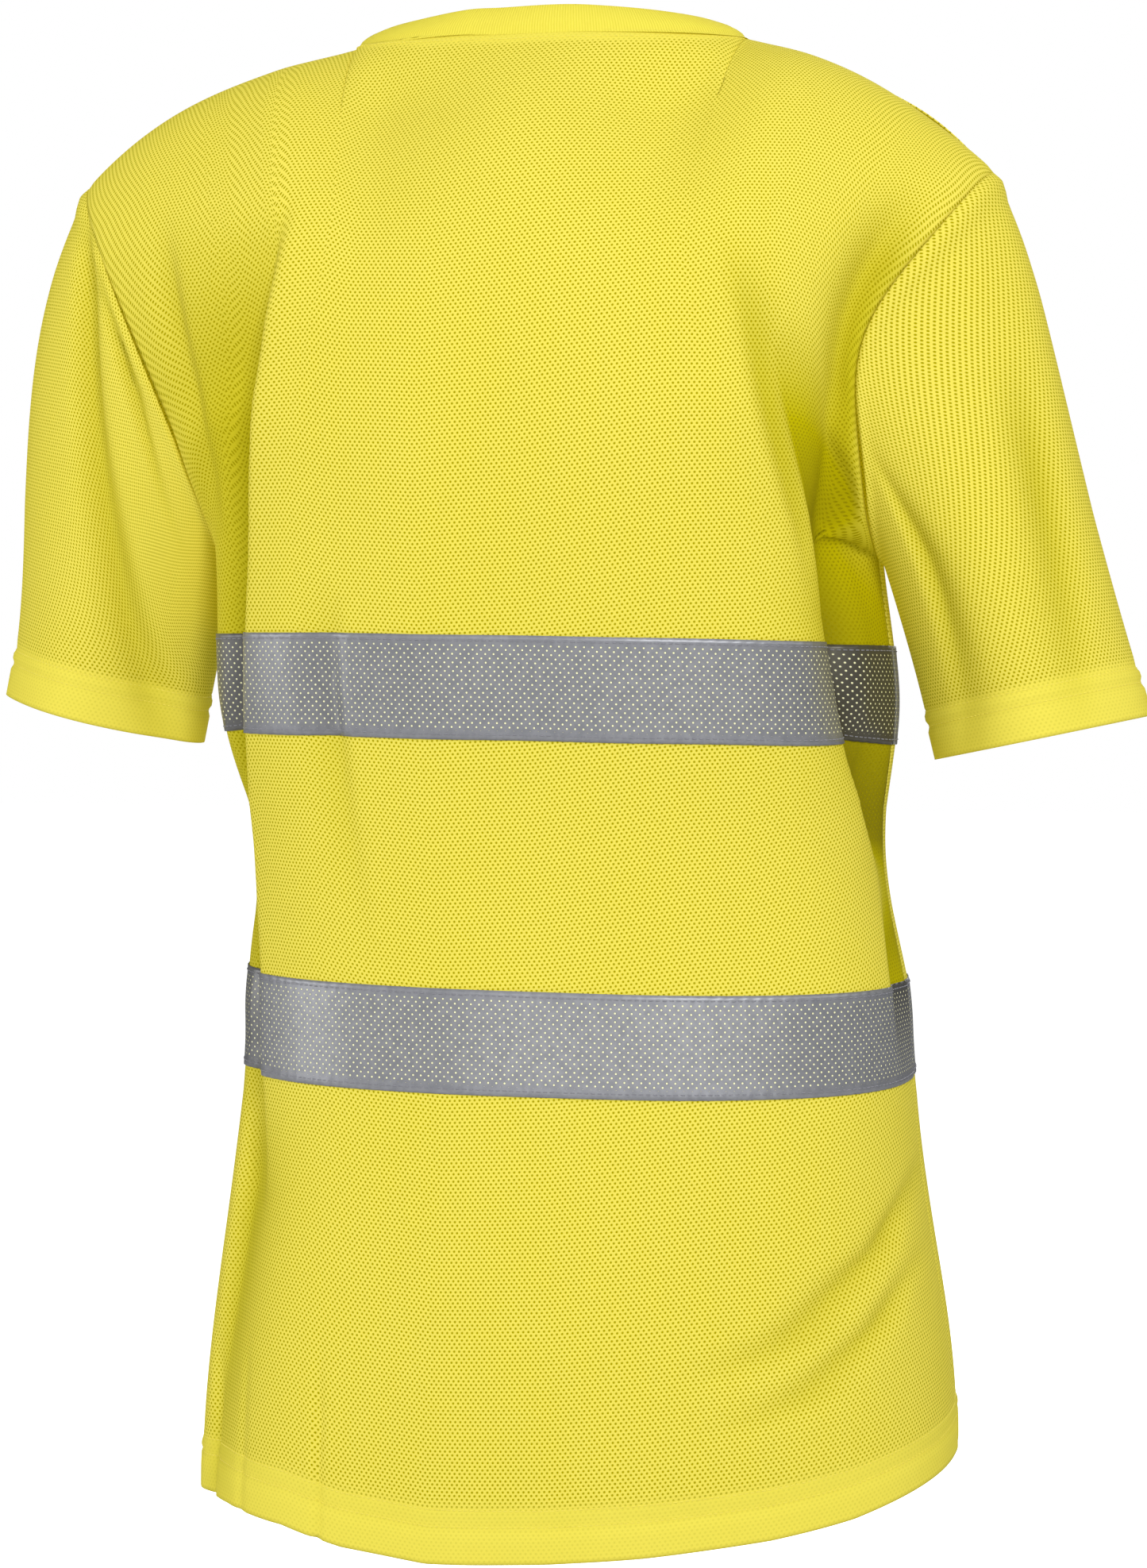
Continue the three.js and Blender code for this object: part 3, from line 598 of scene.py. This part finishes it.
def mesh_cloth():
    material, tree, shader = new_material("fluorescent_mesh_cloth")
    u, v = cloth_coordinates(tree)
    near = staggered(tree, u, v, *EYELET_PITCH)
    doubled = attribute(tree, "doubled")
    open_share = calc(tree, "SUBTRACT", 1.0, calc(tree, "MULTIPLY", doubled, 0.8))
    hole = calc(tree, "MULTIPLY", ramp(tree, near, *EYELET_EDGE), open_share)
    uneven = ramp(tree, noise(tree, 14), 0.3, 0.7)
    ground = blended(tree, doubled, YELLOW, DOUBLE_YELLOW)
    ground = blended(tree, calc(tree, "MULTIPLY", uneven, 0.10), ground, UNEVEN_YELLOW)
    # Painted shade from the folds darkens the cloth.
    ground = shaded(tree, ground, PAINTED_SHADE_YELLOW, PAINTED_DARK_SHADE_YELLOW)
    # The eyelets are painted dark: painted shade of the shirt's inside, seen through the holes.
    tree.links.new(blended(tree, hole, ground, PAINTED_HOLE_SHADE), shader.inputs["Base Color"])
    shader.inputs["Roughness"].default_value = 0.9
    shader.inputs["Specular IOR Level"].default_value = 0.06
    add_painted_glow(shader)
    # The painted glow is halved where the painted shade is 1 and gone where it is 2.
    dimmed = calc(tree, "SUBTRACT", 1.0, calc(tree, "MULTIPLY", attribute(tree, "shade"), 0.5), clamp=True)
    tree.links.new(dimmed, shader.inputs["Emission Strength"])
    bumped(tree, shader, calc(tree, "SUBTRACT", 1.0, hole), 0.0003, 0.6)
    return material


def rib_cloth():
    material, tree, shader = new_material("rib_knit_yellow")
    u, _ = cloth_coordinates(tree)
    rib = calc(tree, "SINE", calc(tree, "MULTIPLY", u, 2 * math.pi / RIB_PITCH))
    # Painted shade in the rib's valleys and painted light on its ridges.
    colour = blended(tree, ramp(tree, rib, -1, 1), RIB_VALLEY_PAINTED_SHADE, RIB_RIDGE_PAINTED_LIGHT)
    tree.links.new(colour, shader.inputs["Base Color"])
    shader.inputs["Roughness"].default_value = 0.85
    shader.inputs["Specular IOR Level"].default_value = 0.25
    add_painted_glow(shader)
    bumped(tree, shader, rib, 0.0002, 0.5)
    return material


def plain_cloth(name, colour, roughness, glow):
    """Smooth tape or thread, with a fine twill."""
    material, tree, shader = new_material(name)
    grain = noise(tree, 900, 1)
    dark = tuple(c * 0.85 for c in colour)
    tree.links.new(blended(tree, grain, dark, colour), shader.inputs["Base Color"])
    shader.inputs["Roughness"].default_value = roughness
    add_painted_glow(shader, glow)
    bumped(tree, shader, grain, 0.0001, 0.3)
    return material


PERFORATION_PITCH = (0.0040, 0.0041)
PERFORATION_MARGIN = 0.0045
PERFORATION_EDGE = (0.00052, 0.00040)
PERFORATION_RIM = (0.00085, 0.00055)
SILVER, BEAD_SILVER = (0.235, 0.240, 0.260), (0.290, 0.295, 0.315)
PATCHY_SILVER = (0.17, 0.175, 0.19)
RIM_SILVER = (0.15, 0.15, 0.14)
CLOTH_BEHIND = (0.88, 0.86, 0.50)


def silver_tape():
    material, tree, shader = new_material("reflective_silver_tape")
    u, v = cloth_coordinates(tree)
    near = staggered(tree, u, v, *PERFORATION_PITCH)
    inside = calc(tree, "MULTIPLY", ramp(tree, v, PERFORATION_MARGIN - 0.0001, PERFORATION_MARGIN),
                  ramp(tree, v, TAPE_WIDTH - PERFORATION_MARGIN, TAPE_WIDTH - PERFORATION_MARGIN - 0.0001))
    hole = calc(tree, "MULTIPLY", ramp(tree, near, *PERFORATION_EDGE), inside)
    rim = calc(tree, "MULTIPLY", ramp(tree, near, *PERFORATION_RIM), inside)
    beads = ramp(tree, noise(tree, 260, 3), 0.3, 0.7)
    wide = ramp(tree, noise(tree, 7, 2), 0.3, 0.7)
    silver = blended(tree, beads, SILVER, BEAD_SILVER)
    # Broad random patches of darker silver.
    silver = blended(tree, calc(tree, "MULTIPLY", wide, 0.30), silver, PATCHY_SILVER)
    # Painted shade from the folds darkens the tape.
    silver = shaded(tree, silver, PAINTED_SHADE_SILVER, PAINTED_DARK_SHADE_SILVER)
    silver = blended(tree, calc(tree, "MULTIPLY", rim, 0.55), silver, RIM_SILVER)
    colour = blended(tree, hole, silver, CLOTH_BEHIND)
    tree.links.new(colour, shader.inputs["Base Color"])
    metal = calc(tree, "MULTIPLY", calc(tree, "SUBTRACT", 1.0, hole), 0.35)
    tree.links.new(metal, shader.inputs["Metallic"])
    shader.inputs["Roughness"].default_value = 0.42
    bumped(tree, shader, calc(tree, "SUBTRACT", calc(tree, "MULTIPLY", beads, 0.15), hole), 0.0002, 0.5)
    return material


MESH_CLOTH = mesh_cloth()
RIB_CLOTH = rib_cloth()
BINDING = plain_cloth("neck_binding_yellow", (0.67, 0.58, 0.06), 0.8, 0.9)
YELLOW_THREAD = plain_cloth("yellow_sewing_thread", (0.72, 0.625, 0.09), 0.6, 1.0)
GREY_THREAD = plain_cloth("grey_sewing_thread", (0.24, 0.24, 0.27), 0.6, 0.0)
LABEL_CLOTH = plain_cloth("white_label_tape", (0.82, 0.82, 0.79), 0.7, 0.0)
SILVER_TAPE = silver_tape()

# ------------------------------------------------------------------ the two panels

# The turned-up inside of the hem and of the cuffs: heights above the edge, and depths behind the cloth.
EDGE_TURN = [(HEM_DEPTH - 0.0005, -0.0022), (0.018, -0.0020), (0.010, -0.0020), (0.003, -0.0019),
             (0.0004, -0.0014)]


def doubled_zone(surface, columns):
    """1 where the cloth is double: in the hem, and in the seam allowance round the collar."""
    height = surface["height"]
    hem = 1 - smooth((height - HEM_DEPTH) / 0.002)
    on_neck = np.abs(columns)[None, :] <= NECK_COLUMN
    up = lengths(surface["points"], 0)
    below_top = up[-1:] - up
    return np.maximum(hem, on_neck * (1 - smooth((below_top - 0.006) / 0.002)))


def with_turn(values):
    """Repeats the edge row's values over the rows that are turned up behind it."""
    return np.concatenate([np.repeat(values[:1], len(EDGE_TURN), 0), values])


def make_panel(name, side):
    columns = columns_of(side)
    surface = panel_surface(side, columns, PANEL_ROWS)
    points = surface["points"]
    doubled = doubled_zone(surface, columns)
    v = lengths(points, 0)
    uv = np.stack([surface["u"], v], -1)
    turn_rows = [panel_surface(side, columns, [max(h - 0.003, 0), h, h + 0.003]) for h, _ in EDGE_TURN]
    turned = []
    for cut, (_, inwards) in zip(turn_rows, EDGE_TURN):
        turned.append(cut["points"][1] + normals_of(cut["points"])[1] * inwards)
    turned = np.array(turned)
    turned_uv = np.stack([np.repeat(surface["u"][:1], len(EDGE_TURN), 0),
                          np.array([[-h] * len(columns) for h, _ in EDGE_TURN])], -1)
    points = np.concatenate([turned, points])
    uv = np.concatenate([turned_uv, uv])
    doubled = np.concatenate([np.ones(turned.shape[:2]), doubled])
    obj = grid_mesh(name, points, uv, MESH_CLOTH, doubled=doubled, shade=with_turn(surface["shade"]))
    thickened(obj, CLOTH)
    stand_for(obj, name.removeprefix("mesh_"))
    return obj, surface


BACK_PANEL, BACK_SURFACE = make_panel("mesh_back_panel", BACK)
FRONT_PANEL, FRONT_SURFACE = make_panel("mesh_front_panel", FRONT)

# ------------------------------------------------------------------ tapes, hem and their stitching

TAPE_LIFT = 0.0005
TAPE_STITCH_INSET = 0.0026


def make_tape(node, side, low):
    columns = columns_of(side)
    rows = np.linspace(low, low + TAPE_WIDTH, 26)
    surface = panel_surface(side, columns, rows)
    normals = normals_of(surface["points"])
    v = (surface["height"] - low)
    pucker = 0.00025 * np.sin(surface["u"] * 2 * math.pi / 0.0066)
    pucker = pucker * np.exp(-((np.minimum(v, TAPE_WIDTH - v) / 0.003) ** 2))
    points = surface["points"] + normals * (TAPE_LIFT + TAPE + pucker)[..., None]
    tape = grid_mesh("silver_" + node, points, np.stack([surface["u"], v], -1), SILVER_TAPE,
                     shade=surface["shade"])
    thickened(tape, TAPE)
    stand_for(tape, node)
    for which, row in (("bottom", TAPE_STITCH_INSET), ("top", TAPE_WIDTH - TAPE_STITCH_INSET)):
        k = int(np.argmin(np.abs(rows - low - row)))
        t = (low + row - rows[k]) / (rows[1] - rows[0])
        step = 1 if t >= 0 else -1
        line = mix(points[k], points[k + step], abs(t))
        stitch_row(f"sewn_{node}_stitch_{which}", line, normals[k], **LOCK_STITCH,
                               material=GREY_THREAD, slot="grey_thread", body="torso", ring=False)
    return tape


for level_name, low in (("upper", UPPER_TAPE_RISE), ("lower", LOWER_TAPE_RISE)):
    make_tape(f"{level_name}_tape_back", BACK, low)
    make_tape(f"{level_name}_tape_front", FRONT, low)


def body_line(height):
    """A closed line round both panels at a height, with its normals."""
    lines, normals = [], []
    for side in (BACK, FRONT):
        cut = panel_surface(side, columns_of(side), [height - 0.002, height, height + 0.002])["points"]
        lines.append(cut[1, :-1])
        normals.append(normals_of(cut)[1, :-1])
    return np.concatenate(lines), np.concatenate(normals)


for node, height in (("hem_stitch_upper", HEM_DEPTH), ("hem_stitch_lower", HEM_DEPTH - NEEDLE_GAP)):
    line, line_normals = body_line(height)
    stitch_row("sewn_" + node, line, line_normals, **COVER_STITCH,
                               material=YELLOW_THREAD, slot="yellow_thread", body="torso", ring=True)

# ------------------------------------------------------------------ collar

def collar_edge(surface, columns, below):
    """Points of a panel a distance below its collar seam, with normals, over the neck columns."""
    points = surface["points"]
    normals = normals_of(points)
    inside = np.abs(columns) <= NECK_COLUMN + 1e-9
    run = lengths(points, 0)
    line, facing = [], []
    for i in np.nonzero(inside)[0]:
        target = run[-1, i] - below
        line.append([np.interp(target, run[:, i], points[:, i, k]) for k in range(3)])
        facing.append([np.interp(target, run[:, i], normals[:, i, k]) for k in range(3)])
    return np.array(line), unit(np.array(facing))


def collar_ring(below):
    back, back_facing = collar_edge(BACK_SURFACE, columns_of(BACK), below)
    front, front_facing = collar_edge(FRONT_SURFACE, columns_of(FRONT), below)
    return np.concatenate([back[:-1], front[:-1]]), np.concatenate([back_facing[:-1], front_facing[:-1]])


def make_rib():
    ring, _ = collar_ring(0)
    count = len(ring)
    fine = np.linspace(0, count, 480 // FINE, endpoint=False)
    closed = np.concatenate([ring, ring[:1]])
    ring = np.stack([np.interp(fine, np.arange(count + 1), closed[:, k]) for k in range(3)], -1)
    centre = np.array([0, SHOULDER_SET_BACK - (NECK_DEPTH[FRONT] - NECK_DEPTH[BACK]) / 2, 0])
    towards = centre - ring
    towards[:, 2] = 0
    towards = unit(towards)
    behind = -towards[:, 1]
    tilt = np.where(behind > 0, mix(RIB_SIDE, RIB_BACK, behind), mix(RIB_SIDE, RIB_FRONT, -behind))
    rise = towards * np.cos(tilt)[:, None] + np.array([0, 0, 1]) * np.sin(tilt)[:, None]
    along = np.roll(ring, -1, 0) - np.roll(ring, 1, 0)
    out = unit(np.cross(along, rise))
    half = RIB / 2
    outer = [(t, half) for t in (-0.0010, 0.0006, 0.003, 0.006, 0.010, 0.013, RIB_WIDTH - half)]
    turns = (0.6, 1.2, math.pi / 2, 1.94, 2.54)
    lip = [(RIB_WIDTH - half + half * math.sin(a), half * math.cos(a)) for a in turns]
    inner = [(t, -o) for t, o in outer[::-1]]
    profile = outer + lip + inner
    curl = [0.0012 * math.sin(math.pi * min(max(t / RIB_WIDTH, 0), 1)) for t, _ in profile]
    sunk = [0.0009 * math.exp(-((t / 0.0012) ** 2)) for t, _ in profile]
    rows = [ring + rise * t + out * (o + c - (s if o > 0 else 0))
            for (t, o), c, s in zip(profile, curl, sunk)]
    points = np.array(rows)
    u = lengths(ring[None], 1)[0]
    uv = np.stack([np.repeat(u[None], len(rows), 0), np.repeat([[t] for t, _ in profile], len(u), 1)], -1)
    obj = grid_mesh("knit_neck_rib", points, uv, RIB_CLOTH, ring=True)
    return stand_for(obj, "neck_rib")


NECK_RIB = make_rib()
NECK_STITCH_INSET = 0.0045
stitch_line, stitch_facing = collar_ring(NECK_STITCH_INSET)
NECK_SEWN = stitch_row("sewn_neck_topstitch", stitch_line, stitch_facing, **NECK_STITCH,
                       material=YELLOW_THREAD, slot="yellow_thread", body="torso", ring=True)


def make_neck_tape():
    """The binding that covers the collar seam inside the back of the neck."""
    rows = [collar_edge(BACK_SURFACE, columns_of(BACK), d) for d in (0.011, 0.0085, 0.006, 0.0035, 0.001)]
    bulge = (0.0012, 0.0019, 0.0021, 0.0019, 0.0012)
    points = np.array([line - facing * b for (line, facing), b in zip(rows, bulge)])[:, 4:-4]
    uv = np.stack([lengths(points, 1), lengths(points, 0)], -1)
    obj = thickened(grid_mesh("bound_neck_tape", points, uv, BINDING), 0.0006)
    stand_for(obj, "neck_tape")
    return obj, points


NECK_TAPE, NECK_TAPE_POINTS = make_neck_tape()

# ------------------------------------------------------------------ labels

def make_label(node, corner, right, down, out, size):
    """A blank label that hangs from its top edge, with a slight curl."""
    width, length = size
    s, t = np.meshgrid(np.linspace(0, 1, 13), np.linspace(0, 1, 17))
    curl = 0.0015 * t**2 + 0.0006 * np.sin(3 * s + 2 * t) * t
    points = (np.array(corner) + s[..., None] * width * np.array(right)
              + t[..., None] * length * np.array(down) + curl[..., None] * np.array(out))
    obj = grid_mesh("woven_" + node, points, np.stack([s * width, t * length], -1), LABEL_CLOTH)
    thickened(obj, 0.0003)
    stand_for(obj, node)
    return obj


def make_labels():
    middle = NECK_TAPE_POINTS[0, NECK_TAPE_POINTS.shape[1] // 2]
    size = make_label("size_label", middle + np.array([-0.006, -0.0012, 0.002]), (1, 0, 0), (0, 0, -1),
                      (0, -1, 0), (0.012, 0.020))
    side = BACK_SURFACE["points"][:, 0]
    top = np.array([np.interp(0.135, BACK_SURFACE["height"][:, 0], side[:, k]) for k in range(3)])
    care = make_label("care_label", top + np.array([-0.0035, 0, 0]), (-0.97, -0.24, 0), (0, 0, -1),
                      (0, -1, 0), (0.028, 0.045))


make_labels()

# ------------------------------------------------------------------ overlocked seams inside

OVERLOCK_WIDTH = 0.006
# How far behind the cloth each seam's overlocking lies.
SIDE_SEAM_ROOM = 0.0008
SHOULDER_SEAM_ROOM = 0.0016
UNDERARM_SEAM_ROOM = 0.0012
ARMHOLE_SEAM_ROOM = 0.0022


def overlock(node, line, spread, inwards, room, body="torso", ring=False):
    """A soft flat strip of overlocking along a seam, inside the shirt."""
    across = np.linspace(-1, 1, 7)
    rows = []
    for a in across:
        swell = 0.0009 * math.sqrt(max(1 - a * a, 0)) + room
        rows.append(line + spread * (a * OVERLOCK_WIDTH / 2) + inwards * swell)
    points = np.array(rows)
    run = lengths(line[None], 1)[0]
    lumps = 0.00018 * np.sin(run * 2 * math.pi / 0.0025)
    points += inwards[None] * lumps[None, :, None]
    uv = np.stack([np.repeat(run[None], 7, 0), np.repeat(across[:, None] * OVERLOCK_WIDTH, len(run), 1)], -1)
    obj = grid_mesh("overlocked_" + node, points, uv, YELLOW_THREAD, ring=ring)
    thickened(obj, 0.0006, 0)
    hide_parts(node)
    if body == "torso":
        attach(obj, body)
    return obj


def edge_line(surface, outer, low, high):
    """An end column of a panel between two heights."""
    points, height = surface["points"][:, outer], surface["height"][:, outer]
    return points[(height > low) & (height < high)]


def make_body_seams():
    for hand_name, hand in HANDS.items():
        outer = 0 if hand == LEFT else -1
        side = edge_line(BACK_SURFACE, outer, HEM_DEPTH + 0.002, ARMPIT_RISE - 0.008)
        inwards = np.repeat([[-hand, 0.0, 0.0]], len(side), 0)
        overlock(f"{hand_name}_side_seam", side, np.array([0.0, 1, 0]), inwards, CLOTH + SIDE_SEAM_ROOM)
        columns = columns_of(BACK)
        reach = (columns * hand > NECK_COLUMN + 0.3) & (columns * hand < LAST_COLUMN - 0.3)
        ridge = BACK_SURFACE["points"][-1][reach]
        inwards = np.repeat([[0, 0, -1.0]], len(ridge), 0)
        overlock(f"{hand_name}_shoulder_seam", ridge, np.array([0.0, 1, 0]), inwards,
                 CLOTH + SHOULDER_SEAM_ROOM)


make_body_seams()

# ------------------------------------------------------------------ sleeves

SLEEVE_FOLDS = {
    LEFT: [
        dict(path=[(0.233, -0.075, 0), (0.229, -0.12, 0.8), (0.227, -0.18, 1), (0.224, -0.22, 1),
                   (0.218, -0.265, 0.9), (0.212, -0.326, 0.6), (0.208, -0.37, 0.2)],
             depth=0.010, inner=0.013, outer=0.013, lap=0, shade=0.5, reach=1.2),
        dict(path=[(0.224, -0.10, 0), (0.206, -0.16, 1), (0.186, -0.24, 0)],
             depth=0.004, inner=0.006, outer=0.006, lap=0),
        dict(path=[(0.214, -0.13, 0), (0.198, -0.18, 1), (0.184, -0.27, 0)],
             depth=0.0035, inner=0.006, outer=0.006, lap=0),
    ],
    RIGHT: [
        dict(path=[(-0.185, -0.20, 0), (-0.20, -0.26, 1), (-0.212, -0.33, 0.4), (-0.215, -0.38, 0)],
             depth=0.006, inner=0.014, outer=0.010, lap=0, shade=0.5),
        dict(path=[(-0.255, -0.15, 0), (-0.262, -0.22, 1), (-0.266, -0.30, 0.6), (-0.268, -0.37, 0)],
             depth=0.004, inner=0.012, outer=0.016, lap=0),
    ],
}
CUFF_SPREAD = {LEFT: 0.0075, RIGHT: 0.002}  # how much further out each cuff hangs


def armhole_ring(hand, theta):
    """The armhole, from the armpit up the back (theta 0 to pi) and down the front."""
    s = (1 - np.cos(theta)) / 2
    x = mix(ARMPIT_HALF_WIDTH, SHOULDER_HALF_WIDTH, s**1.6)
    return placed(hand * x, ARMHOLE_HALF_DEPTH * np.sin(theta), mix(ARMPIT_RISE, TIP_RISE, s))


def cuff_ring(hand, theta, up):
    """A ring round the sleeve's own axis, a distance up from the cuff's edge."""
    outwards = np.array([hand * math.cos(CUFF_TILT), 0, math.sin(CUFF_TILT)])
    upwards = np.array([-hand * math.sin(CUFF_TILT), 0, math.cos(CUFF_TILT)])
    out = CUFF_OUT + CUFF_SPREAD[hand]
    centre = np.array([hand * out, -CUFF_FORWARD, CUFF_RISE - NECK_RISE]) + upwards * up
    flat = 1 - 0.06 * np.sin(2 * theta) ** 2
    ring = centre - CUFF_RADIUS * (np.cos(theta) * flat)[:, None] * outwards
    return ring + CUFF_RADIUS * (np.sin(theta) * flat)[:, None] * np.array([0, 1, 0])


def sleeve_rows(hand, theta, rows):
    """Rings of the sleeve. A row is a height in the cuff, or 1 + the share from the cuff to the armhole."""
    sewn, cuff_top = armhole_ring(hand, theta), cuff_ring(hand, theta, HEM_DEPTH)
    outer_share = (1 - np.cos(theta)) / 2
    grid = []
    for row in rows:
        if row < 1:
            grid.append(cuff_ring(hand, theta, row))
            continue
        t = 2 - row
        bulge = 4 * t * (1 - t) ** 2 * SLEEVE_BULGE * outer_share
        ring = mix(sewn, cuff_top, t)
        ring = ring + np.stack([hand * bulge, 0 * bulge, bulge / 2], -1)
        grid.append(ring)
    return np.array(grid)


def sleeve_surface(hand, theta, rows):
    flat = sleeve_rows(hand, theta, rows)
    order = slice(None, None, -1) if hand == LEFT else slice(None)
    flat = flat[:, order]
    normals = normals_of(flat, ring=True)
    across = unit(np.roll(flat, -1, 1) - np.roll(flat, 1, 1))
    across = across * np.sign(across[..., :1])
    behind = (np.sin(theta[order]) > 0)[None, :]
    pressed, shade = folded(flat, normals, across, SLEEVE_FOLDS[hand], 1)
    points = np.where(behind[..., None], pressed, flat)
    points = rippled(points, normals, 0.0010, 11 + hand)
    height = np.array([[row if row < 1 else 0.026 + 0.2 * (row - 1)] for row in rows])
    raised = hem_relief(height) * np.ones_like(flat[..., 0])
    share = np.array([[max(row - 1, 0)] for row in rows])
    near_seam = (1 - share) * 0.24
    puff = np.where(share > 0, 0.0022 * np.exp(-(((near_seam - 0.006) / 0.006) ** 2)), 0)
    sink = SEAM_SINK / 2 * np.exp(-((near_seam / 0.0025) ** 2)) * (share > 0)
    points = points + (raised + puff - sink)[..., None] * normals
    u = lengths(flat, 1)
    return dict(points=hung(points), u=u - u[:, :1], shade=shade * behind)


def sleeve_theta():
    return np.arange(SLEEVE_COLUMNS) * 2 * math.pi / SLEEVE_COLUMNS


def bend(obj, hand):
    """Bakes the piece's placement into its mesh."""
    start = hung(armhole_ring(hand, np.array([0.0])))[0]
    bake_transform(obj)


def make_sleeve(hand_name, hand):
    theta = sleeve_theta()
    cuff_rows = [0, 0.0022, 0.006, 0.010, 0.014, HEM_DEPTH - NEEDLE_GAP, 0.0200, 0.0225, HEM_DEPTH]
    shares = list(1 + np.arange(1, SLEEVE_ROWS + 1) / SLEEVE_ROWS)
    near_seam = [1.983, 1.99, 1.995]
    rows = cuff_rows + sorted(shares + near_seam)
    surface = sleeve_surface(hand, theta, rows)
    points = surface["points"]
    v = lengths(points, 0)
    doubled = np.repeat([[1.0 if row <= HEM_DEPTH else 0.0] for row in rows], SLEEVE_COLUMNS, 1)
    turned = []
    for height, inwards in EDGE_TURN:
        cut = sleeve_surface(hand, theta, [max(height - 0.003, 0), height, height + 0.003])["points"]
        turned.append(cut[1] + normals_of(cut, ring=True)[1] * inwards)
    turned = np.array(turned)
    grid = np.concatenate([turned, points])
    uv = np.stack([surface["u"], v], -1)
    turned_uv = np.stack([np.repeat(surface["u"][:1], len(EDGE_TURN), 0),
                          np.repeat([[-h] for h, _ in EDGE_TURN], SLEEVE_COLUMNS, 1)], -1)
    obj = grid_mesh(f"mesh_{hand_name}_sleeve", grid, np.concatenate([turned_uv, uv]), MESH_CLOTH, ring=True,
                    doubled=np.concatenate([np.ones(turned.shape[:2]), doubled]),
                    shade=with_turn(surface["shade"]))
    thickened(obj, CLOTH)
    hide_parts(f"{hand_name}_sleeve")
    bend(obj, hand)
    for which, height in (("upper", HEM_DEPTH - 0.0004), ("lower", HEM_DEPTH - NEEDLE_GAP)):
        cut = sleeve_surface(hand, theta, [height - 0.002, height, height + 0.0004])["points"]
        row = stitch_row(f"sewn_{hand_name}_cuff_stitch_{which}", cut[1], normals_of(cut, ring=True)[1],
                         **COVER_STITCH, material=YELLOW_THREAD, slot="yellow_thread", body="sleeve",
                         ring=True)
        bend(row, hand)
    inner = -1 if hand == LEFT else 0
    line = points[len(cuff_rows):-6, inner]
    inwards = np.repeat([[hand * math.cos(CUFF_TILT), 0, math.sin(CUFF_TILT)]], len(line), 0)
    seam = overlock(f"{hand_name}_underarm_seam", line, np.array([0.0, 1, 0]), inwards,
                    CLOTH + UNDERARM_SEAM_ROOM, "sleeve")
    bend(seam, hand)
    ring = hung(armhole_ring(hand, theta))
    centre = ring.mean(0)
    inwards = unit(np.stack([0 * ring[:, 0], centre[1] - ring[:, 1], centre[2] - ring[:, 2]], -1))
    route = ring - np.array([hand * 0.0045, 0, 0])
    overlock(f"{hand_name}_armhole_seam", route, np.array([1.0, 0, 0]), inwards,
             CLOTH + ARMHOLE_SEAM_ROOM, ring=True)
    return obj


for hand_name, hand in HANDS.items():
    make_sleeve(hand_name, hand)

# ------------------------------------------------------------------ floor, light and camera

FLOOR_DROP = 0.45
FLOOR_GLOW = 1.0


def seen_only(tree, shader, strength):
    """A glow that the camera sees and that doesn't light the shirt."""
    seen = tree.nodes.new("ShaderNodeLightPath").outputs["Is Camera Ray"]
    tree.links.new(calc(tree, "MULTIPLY", seen, strength), shader.inputs["Emission Strength"])


def make_floor():
    bpy.ops.mesh.primitive_plane_add(size=40, location=(0, 0, -NECK_RISE - FLOOR_DROP))
    floor = bpy.context.object
    floor.name = "studio_floor"
    material, tree, shader = new_material("pale_floor")
    shader.inputs["Base Color"].default_value = (0.8, 0.8, 0.8, 1)
    shader.inputs["Emission Color"].default_value = (1, 1, 1, 1)
    seen_only(tree, shader, FLOOR_GLOW)
    shader.inputs["Roughness"].default_value = 1
    floor.data.materials.append(material)


def area_light(name, azimuth, elevation, distance, size, power):
    """A soft box that faces the middle of the shirt."""
    a, e = math.radians(azimuth), math.radians(elevation)
    away = Vector((math.sin(a) * math.cos(e), -math.cos(a) * math.cos(e), math.sin(e)))
    data = bpy.data.lights.new(name, "AREA")
    data.shape = "SQUARE"
    data.size = size
    data.energy = power
    light = bpy.data.objects.new(name, data)
    bpy.context.scene.collection.objects.link(light)
    light.location = Vector((0, 0, -NECK_RISE / 2)) + away * distance
    light.rotation_euler = (-away).to_track_quat("-Z", "Y").to_euler()


WORLD_LIGHT = 0.13


def make_world():
    """A white room: seen as white, and a dimmer even light on the shirt."""
    world = bpy.data.worlds.new("studio")
    world.use_nodes = True
    tree = world.node_tree
    tree.nodes["Background"].inputs["Color"].default_value = (1, 1, 1, 1)
    seen = tree.nodes.new("ShaderNodeLightPath").outputs["Is Camera Ray"]
    strength = calc(tree, "MAXIMUM", seen, WORLD_LIGHT)
    tree.links.new(strength, tree.nodes["Background"].inputs["Strength"])
    bpy.context.scene.world = world


def make_light():
    make_world()
    area_light("key", 204, 22, 2.6, 0.8, 41)
    area_light("camera_fill", 172, 12, 2.6, 1.4, 12)
    area_light("left_rim", 112, 10, 2.6, 1.2, 24)
    area_light("top", 190, 68, 2.4, 1.4, 9)
    area_light("right_rim", 262, 32, 2.6, 1.2, 14)
    area_light("front", 0, 25, 2.8, 1.8, 34)


CAMERA_AZIMUTH = 192
CAMERA_DISTANCE = 1.44
CAMERA_RISE = 0.402
CAMERA_PITCH = math.radians(1.72)
CAMERA_LENS = 63.8
SENSOR = 36


def make_camera():
    data = bpy.data.cameras.new("camera")
    data.sensor_width = SENSOR
    data.lens = CAMERA_LENS
    camera = bpy.data.objects.new("camera", data)
    bpy.context.scene.collection.objects.link(camera)
    a = math.radians(CAMERA_AZIMUTH)
    camera.location = (math.sin(a) * CAMERA_DISTANCE, -math.cos(a) * CAMERA_DISTANCE, CAMERA_RISE - NECK_RISE)
    camera.rotation_mode = "XYZ"
    camera.rotation_euler = (math.pi / 2 - CAMERA_PITCH, 0, a)
    bpy.context.scene.camera = camera


make_floor()
make_light()
make_camera()
bpy.context.scene.view_settings.view_transform = "Standard"
